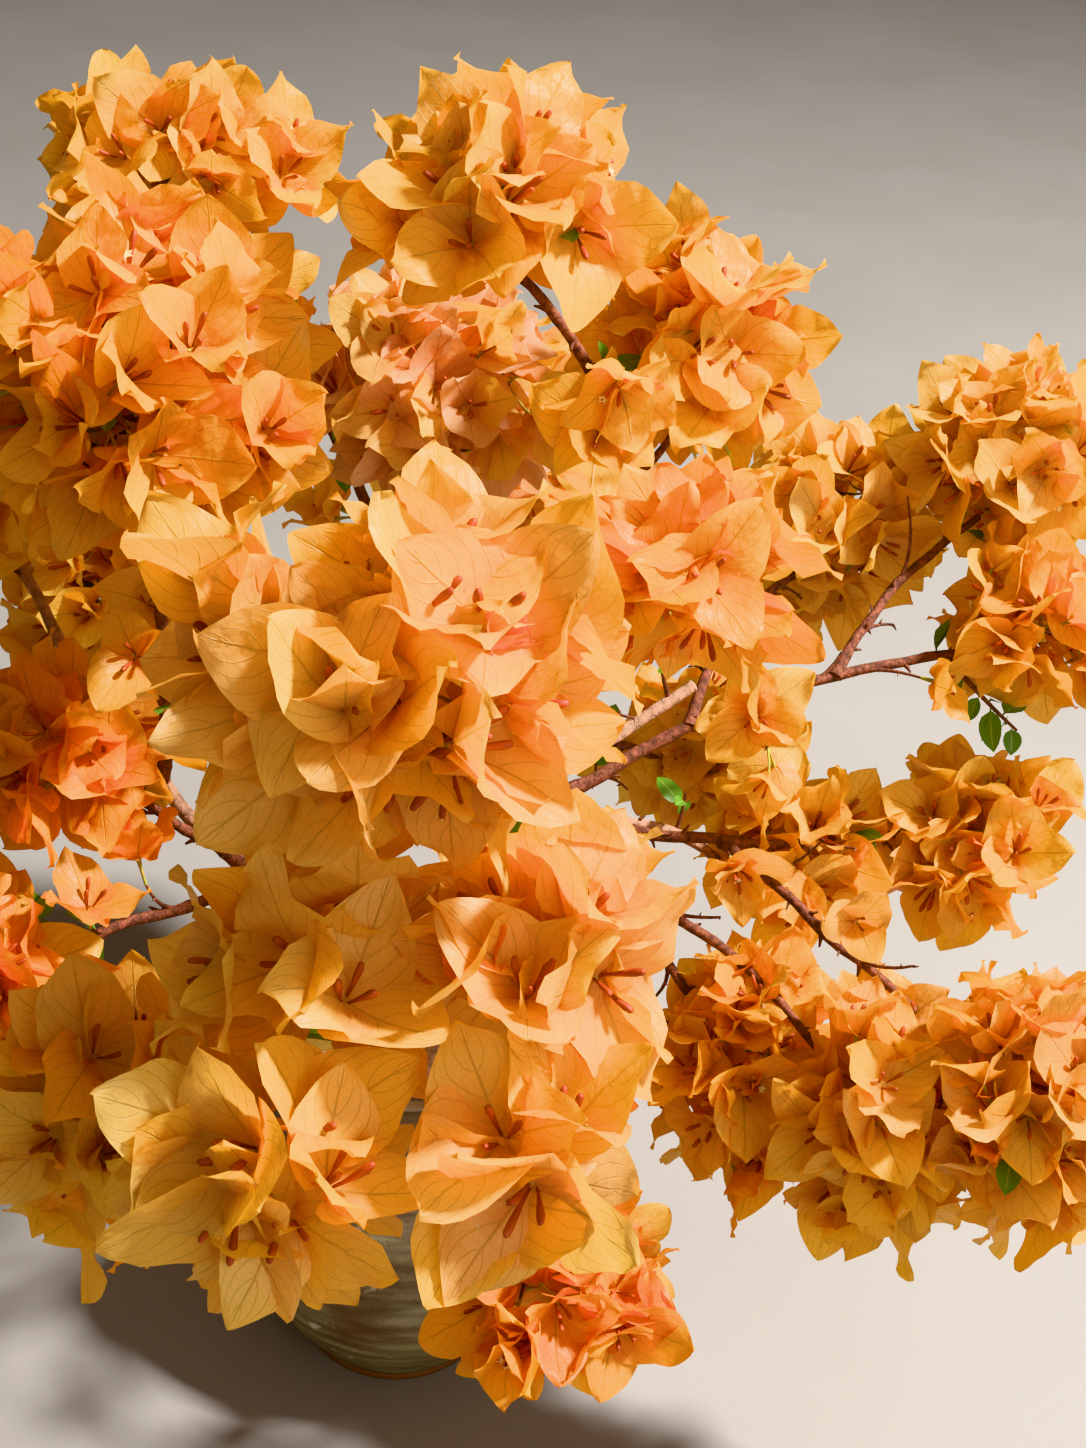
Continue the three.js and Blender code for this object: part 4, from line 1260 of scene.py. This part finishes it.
def twig_lines(grown):
    """Stems and woody twigs, and the green stalks that end in flowers."""
    woody, green = [], []
    for spray in grown:
        if spray.stem:
            woody.append(tapered(spray.stem, spray.radius, 1.0, 8))
        for flower in spray.flowers:
            green_from = max(0.0, 1 - GREEN_STALK / max(curve_length(flower.twig), 1))
            row = [(on_curve(flower.twig, i / 7), i / 7) for i in range(8)]
            split = on_curve(flower.twig, green_from)
            brown = [(p, lerp(1.3, 0.85, s)) for p, s in row if s < green_from]
            if brown:
                woody.append(brown + [(split, 0.85)])
            fresh = [(split, 0.9)] + [(p, lerp(0.85, 0.75, s)) for p, s in row if s > green_from + 0.02]
            if len(fresh) > 1:
                green.append(fresh[:-1] + [(fresh[-1][0], CALYX_RADIUS)])
    return woody, green


@lru_cache(maxsize=1)
def shoots():
    """The leafy shoots, each as a curve and the number of its leaves."""
    grown = []
    for bough, share, way, reach, leaves in SHOOTS:
        start = on_curve(bough_curve(bough), share)
        way = Vector(way).normalized()
        bend = way.cross(UP + Vector((0.3, 0, 0))).normalized() * reach * 0.12
        grown.append(([start, start + way * reach * 0.5 + bend, start + way * reach], leaves))
    return grown


def tapered(curve, root, tip, steps=7):
    """A curve as a row of points and radii."""
    return [(on_curve(curve, i / steps), lerp(root, tip, i / steps)) for i in range(steps + 1)]


class BUSH_OT_twigs(bpy.types.Operator):
    """Grows the stems, the twigs inside the sprays, the side twigs, the shoots and the stalks"""
    bl_idname = "bush.twigs"
    bl_label = "Twigs"

    def execute(self, context):
        wood = context.scene.bush_wood
        woody, green = twig_lines(growth(context.scene))
        woody += [tapered(curve, *SIDE_TWIG_RADII) for _, curve in side_twigs(wood.side_twig_spacing / MM)]
        woody += [tapered(curve, *SHOOT_RADII) for curve, _ in shoots()]
        young = bark("red_brown_twig_bark", wood.young_bark, 1.6, 0.003)
        fresh = soft_skin("green_twig_skin", wood.green_twig, 0xB8A24E, 0.55)
        for name, lines, material, slot in (("twigs", woody, young, "young_bark"),
                                            ("flower_stalks", green, fresh, "green_leaf")):
            skin = through_tree(line_mesh(lines), limb_tree(), sides=6, step=0.006, relief=0.0003,
                                ridge=0.003, seed=9.0, material=material)
            piece(name, skin, slot)
        return {"FINISHED"}


def spur_shape():
    """A short spur, bent a little, four-sided, of unit length along +Z."""
    points = []
    for share, radius, lean in ((0, 0.26, 0), (0.5, 0.17, 0.03), (1, 0.09, 0.12)):
        points += [Vector((radius * math.cos(a) + lean, radius * math.sin(a), share)) / MM
                   for a in (0, math.tau / 4, math.tau / 2, math.tau * 3 / 4)]
    return mesh_of("spur", points, capped(2, 4))


class BUSH_OT_spurs(bpy.types.Operator):
    """Sets short spurs along the boughs and the side twigs"""
    bl_idname = "bush.spurs"
    bl_label = "Spurs"

    def execute(self, context):
        wood = context.scene.bush_wood
        draw = seeded_row(303)
        strewn = []
        spacing = wood.spur_spacing / MM
        lines = [limb_line(name) for name in BOUGHS if name != "pruned_stub"]
        lines += [tapered(curve, *SIDE_TWIG_RADII) for _, curve in side_twigs(wood.side_twig_spacing / MM)]
        for line in lines:
            along = 0.0
            for (a, _), (b, radius) in zip(line, line[1:]):
                along += (b - a).length
                if along < spacing * lerp(0.4, 1.2, draw()) * min(1, 0.35 + radius * 0.25):
                    continue
                along = 0.0
                forward = (b - a).normalized()
                out = forward.cross(random_direction(draw)).normalized()
                turn = upright((out + forward * lerp(0.2, 1.0, draw())).normalized()).to_euler()
                size = wood.spur_length * lerp(0.6, 1.4, draw()) * min(1, 0.4 + radius * 0.2)
                strewn.append((b + out * radius * 0.6, turn, size, 0))
        skin = bark("spur_bark", wood.young_bark, 1.8, 0.004)
        piece("spurs", scattered([spur_shape()], strewn, skin), "young_bark")
        return {"FINISHED"}


# Blossom

def bract_shape(name, draw, rows=12, columns=6):
    """A broad pointed bract of unit length: base at the origin, along +Y, its inside facing +Z."""
    breadth = BRACT_BREADTH * lerp(0.9, 1.1, draw())
    foot, point = lerp(0.36, 0.5, draw()), lerp(0.6, 0.92, draw())
    widest = foot / (foot + point)
    peak = widest ** foot * (1 - widest) ** point
    cup, arch = lerp(0.02, 0.3, draw()), lerp(-0.1, 0.08, draw())
    wave, waves, start = lerp(0.04, 0.1, draw()), lerp(1.0, 2.4, draw()), draw()
    fold, twist = lerp(-0.05, 0.24, draw()), lerp(-0.4, 0.4, draw())
    curl, lean = lerp(0.0, 0.5, draw()), lerp(-0.07, 0.07, draw())
    where = draw() * 90

    def place(u, v):
        half = breadth / 2 * v ** foot * (1 - v) ** point / peak
        x = u * half + lean * v * v
        y = v + 0.06 * v ** 10 - 0.13 * u * u * (1 - v) ** 3 * min(v * 12, 1)
        z = arch * 4 * v * (1 - v) - curl * max(v - 0.5, 0) ** 2
        z += cup * (1 - 1.5 * v) * u * u * half * 2 + fold * abs(u) * half
        z += wave * abs(u) ** 2.5 * math.sin(math.tau * (waves * v + start + 0.31 * (u > 0)))
        z += 0.03 * min(v * 4, 1) * noise.noise(Vector((x * 6, y * 6, where)))
        angle = twist * (v - 0.2)
        return (x * math.cos(angle) - z * math.sin(angle), y,
                x * math.sin(angle) + z * math.cos(angle))

    # Rows lie closer together at the base and at the point, where the outline bends most.
    points, uv = blade_grid(rows, columns, place, lambda share: (1 - math.cos(math.pi * share)) / 2)
    return mesh_of(name, points, grid_faces(rows, columns), uv)


class BUSH_OT_bracts(bpy.types.Operator):
    """Opens the bracts of every flower, a piece for each tint"""
    bl_idname = "bush.bracts"
    bl_label = "Bracts"

    def execute(self, context):
        flowers = all_flowers(context.scene)
        for tint, (slot, code) in TINTS.items():
            draw = seeded_row(17)
            shapes = [bract_shape(f"bract_{k}", draw) for k in range(16)]
            draw = seeded_row(code & 0xFFFF)
            strewn = []
            for flower in flowers:
                for base, turn, length, _, own in flower.bracts:
                    if own == tint:
                        strewn.append((base, turn, length * MM, int(draw() * len(shapes)), draw()))
            made = scattered(shapes, strewn, papery_bract(f"papery_bract_{tint}", linear(code)))
            nodes = [f"blossom_{name}" for name, cloud in SPRAYS.items() if cloud.tints[0] == tint]
            piece(f"bracts_{tint}", made, slot, nodes)
        return {"FINISHED"}


def tube_shape(bulge, bend):
    """A flower tube of unit length along +Z: a thin foot, then a club with a blunt end."""
    sides = 5
    points = []
    rings = ((0, 0.03), (0.3, 0.04), (0.5, 0.062), (0.8, 0.088 * bulge), (0.96, 0.07), (1, 0.03))
    for share, radius in rings:
        for j in range(sides):
            turn = math.tau * j / sides
            shift = bend * share * share
            points.append(Vector((radius * math.cos(turn) + shift, radius * math.sin(turn), share)) / MM)
    return mesh_of("tube", points, capped(len(rings) - 1, sides))


def star_shape():
    """A small open floret of unit width: five notched lobes round a throat."""
    points = [Vector((0, 0, -0.12)) / MM]
    for j in range(10):
        radius, rise = (0.26, 0) if j % 2 else (0.5, 0.1)
        points.append(round_axis(math.tau * j / 10, radius, rise) / MM)
    return mesh_of("star", points, [(0, 1 + j, 1 + (j + 1) % 10) for j in range(10)])


class BUSH_OT_tubes(bpy.types.Operator):
    """Sets three flower tubes in each flower, and a floret on a few"""
    bl_idname = "bush.tubes"
    bl_label = "Flower tubes"

    def execute(self, context):
        blossom = context.scene.bush_blossom
        draw = seeded_row(29)
        tubes, florets = [], []
        for flower in all_flowers(context.scene):
            if flower.young:
                continue
            for base, _, _, along, _ in flower.bracts:
                z = (flower.axis + along * lerp(0.4, 1.1, draw())).normalized()
                turn = upright(z).to_euler()
                tall = blossom.tube * flower.size * MM * lerp(0.85, 1.12, draw())
                foot = flower.end.lerp(base, 1.1) + z * 0.5
                tubes.append((foot, turn, tall, int(draw() * 4)))
                if draw() < FLORET_SHARE:
                    florets.append((foot + z * tall / MM, turn, FLORET_WIDTH * MM, 0))
        bends = ((1, 0.02), (1.12, 0.08), (0.9, -0.07), (1.05, 0.12))
        skin = soft_skin("flower_tube_skin", blossom.tube_colour, 0xAA4E24, 0.5)
        piece("flower_tubes", scattered([tube_shape(*bend) for bend in bends], tubes, skin), "flower_tube")
        petal = soft_skin("cream_floret_petal", linear(0xF6EED2), 0xEBDFA8, 0.6)
        piece("florets", scattered([star_shape()], florets, petal), "flower_tube")
        return {"FINISHED"}


def leaf_shape(name, draw, rows=6, columns=4):
    """An ovate leaf of unit length with a short stalk, along +Y, its upper side facing +Z."""
    breadth, droop = lerp(0.5, 0.66, draw()), lerp(0.05, 0.3, draw())
    fold, wave = lerp(0.08, 0.35, draw()), lerp(0.0, 0.03, draw())

    def place(u, v):
        half = breadth / 2 * (v ** 0.7 * (1 - v) ** 0.85) / 0.345
        z = fold * abs(u) * half - droop * v * v + wave * u * math.sin(9 * v)
        return (u * half, 0.12 + 0.88 * v, z)

    points, uv = blade_grid(rows, columns, place)
    faces = grid_faces(rows, columns)
    start = len(points)
    for y in (0, 0.16):
        for x, z in ((-0.02, 0), (0.02, 0), (0, -0.03)):
            points.append(Vector((x, y, z)) / MM)
            uv.append((0.5, 0.0))
    faces += [(start + a, start + b, start + b + 3, start + a + 3) for a, b in ((0, 1), (1, 2), (2, 0))]
    return mesh_of(name, points, faces, uv)


class BUSH_OT_leaves(bpy.types.Operator):
    """Sets a few green leaves on twigs and boughs"""
    bl_idname = "bush.leaves"
    bl_label = "Leaves"

    def execute(self, context):
        blossom = context.scene.bush_blossom
        draw = seeded_row(47)
        strewn = []

        def set_leaf(place, forward, size):
            out = forward.cross(random_direction(draw)).normalized()
            y = (out + forward * 0.5 + UP * 0.1).normalized()
            z = UP + random_direction(draw) * 0.5
            z = (z - y * z.dot(y)).normalized()
            strewn.append((place, turn_of(y.cross(z), y, z), size, int(draw() * 6)))

        for curve, leaves in shoots():
            for k in range(leaves):
                share = lerp(0.35, 1, (k + draw() * 0.6) / leaves)
                size = blossom.leaf * lerp(0.55, 1.05, draw())
                set_leaf(on_curve(curve, share), heading_of(curve, share), size)
        for flower in all_flowers(context.scene):
            if draw() < LEAFY_FLOWERS:
                share = lerp(0.2, 0.7, draw())
                place, forward = on_curve(flower.twig, share), heading_of(flower.twig, share)
                set_leaf(place, forward, blossom.leaf * lerp(0.6, 1.0, draw()))
        for name in BOUGHS:
            line = limb_line(name)
            line = line[len(line) // 2:]
            for (a, _), (b, _) in zip(line, line[1:]):
                if name not in OLD_WOOD and draw() < LEAFY_STEPS:
                    for _ in range(2):
                        set_leaf(b, (b - a).normalized(), blossom.leaf * lerp(0.6, 1.15, draw()))
        shapes = [leaf_shape(f"leaf_{k}", draw) for k in range(6)]
        blade = waxy_leaf("waxy_green_leaf", blossom.leaf_colour)
        piece("leaves", scattered(shapes, strewn, blade), "green_leaf")
        return {"FINISHED"}


# Stage

def camera_turn(pitch, roll):
    """Looks along +Y, down by the pitch, with the camera rolled anticlockwise."""
    ahead = Vector((0, math.cos(pitch), -math.sin(pitch)))
    level, above = Vector((1, 0, 0)), Vector((0, math.sin(pitch), math.cos(pitch)))
    right = level * math.cos(roll) + above * math.sin(roll)
    upward = above * math.cos(roll) - level * math.sin(roll)
    return Matrix((right, upward, -ahead)).transposed().to_euler()


def softbox(name, place, target, size, power, code):
    lamp = bpy.data.lights.new(name, "AREA")
    lamp.shape, lamp.size, lamp.energy = "DISK", size, power
    lamp.color = linear(code)
    made = bpy.data.objects.new(name, lamp)
    made.location = place
    made.rotation_euler = (Vector(target) - Vector(place)).to_track_quat("-Z", "Y").to_euler()
    bpy.context.scene.collection.objects.link(made)


class BUSH_OT_stage(bpy.types.Operator):
    """Sets the floor, the lights and the camera"""
    bl_idname = "bush.stage"
    bl_label = "Stage"

    def execute(self, context):
        scene = context.scene
        points, faces = turned([(0, FLOOR_HEIGHT), (FLOOR_RADIUS, FLOOR_HEIGHT)], 96)
        mesh = mesh_of("floor", points, [tuple(f[::-1]) for f in faces])
        mesh.materials.append(limewashed_floor())
        floor = bpy.data.objects.new("floor", mesh)
        scene.collection.objects.link(floor)

        softbox("key_light", (2.6, 0.1, 3.9), (0, -0.1, 0.45), 0.5, 600, 0xFFF8F0)
        softbox("fill_light", (1.7, -2.3, 1.8), (0.1, 0, 0.4), 2.4, 42, 0xFFF6EA)
        world = bpy.data.worlds.new("pale_room")
        world.use_nodes = True
        sky = world.node_tree.nodes["Background"]
        sky.inputs["Color"].default_value = linear(0xFFE6D0, 1)
        sky.inputs["Strength"].default_value = 0.26
        scene.world = world
        scene.view_settings.view_transform = "Khronos PBR Neutral"

        lens = bpy.data.cameras.new("camera")
        lens.lens, lens.sensor_width, lens.sensor_fit = 50, 36, "AUTO"
        lens.clip_start, lens.clip_end = 0.05, 60
        camera = bpy.data.objects.new("camera", lens)
        camera.location = CAMERA_PLACE
        camera.rotation_euler = camera_turn(math.radians(CAMERA_PITCH), math.radians(CAMERA_ROLL))
        scene.collection.objects.link(camera)
        scene.camera = camera
        return {"FINISHED"}


class BUSH_PT_pieces(bpy.types.Panel):
    """Lists the pieces of the bush"""
    bl_idname = "BUSH_PT_pieces"
    bl_label = "Bougainvillea Bush"
    bl_space_type = "VIEW_3D"
    bl_region_type = "UI"
    bl_category = "Bush"

    def draw(self, context):
        for label, group, operators in PANEL_ROWS:
            box = self.layout.box()
            box.label(text=label)
            if group:
                for name in GROUPS[group].__annotations__:
                    box.prop(getattr(context.scene, group), name)
            for operator in operators:
                box.operator(operator.bl_idname)


PANEL_ROWS = (
    ("Jar", "bush_jar", (BUSH_OT_jar, BUSH_OT_soil)),
    ("Wood", "bush_wood", (BUSH_OT_wood, BUSH_OT_twigs, BUSH_OT_spurs)),
    ("Blossom", "bush_blossom", (BUSH_OT_bracts, BUSH_OT_tubes, BUSH_OT_leaves)),
    ("Stage", None, (BUSH_OT_stage,)),
)
GROUPS = {"bush_jar": BushJarSizes, "bush_wood": BushWoodSizes, "bush_blossom": BushBlossomSizes}
OPERATORS = [operator for _, _, operators in PANEL_ROWS for operator in operators]


def register():
    for made in (*GROUPS.values(), *OPERATORS, BUSH_PT_pieces):
        bpy.utils.register_class(made)
    for name, group in GROUPS.items():
        setattr(bpy.types.Scene, name, bpy.props.PointerProperty(type=group))


def unregister():
    for name in GROUPS:
        delattr(bpy.types.Scene, name)
    for made in (BUSH_PT_pieces, *OPERATORS[::-1], *list(GROUPS.values())[::-1]):
        bpy.utils.unregister_class(made)


def main():
    register()
    for operator in OPERATORS:
        group, name = operator.bl_idname.split(".")
        getattr(getattr(bpy.ops, group), name)()


if __name__ == "__main__":
    main()
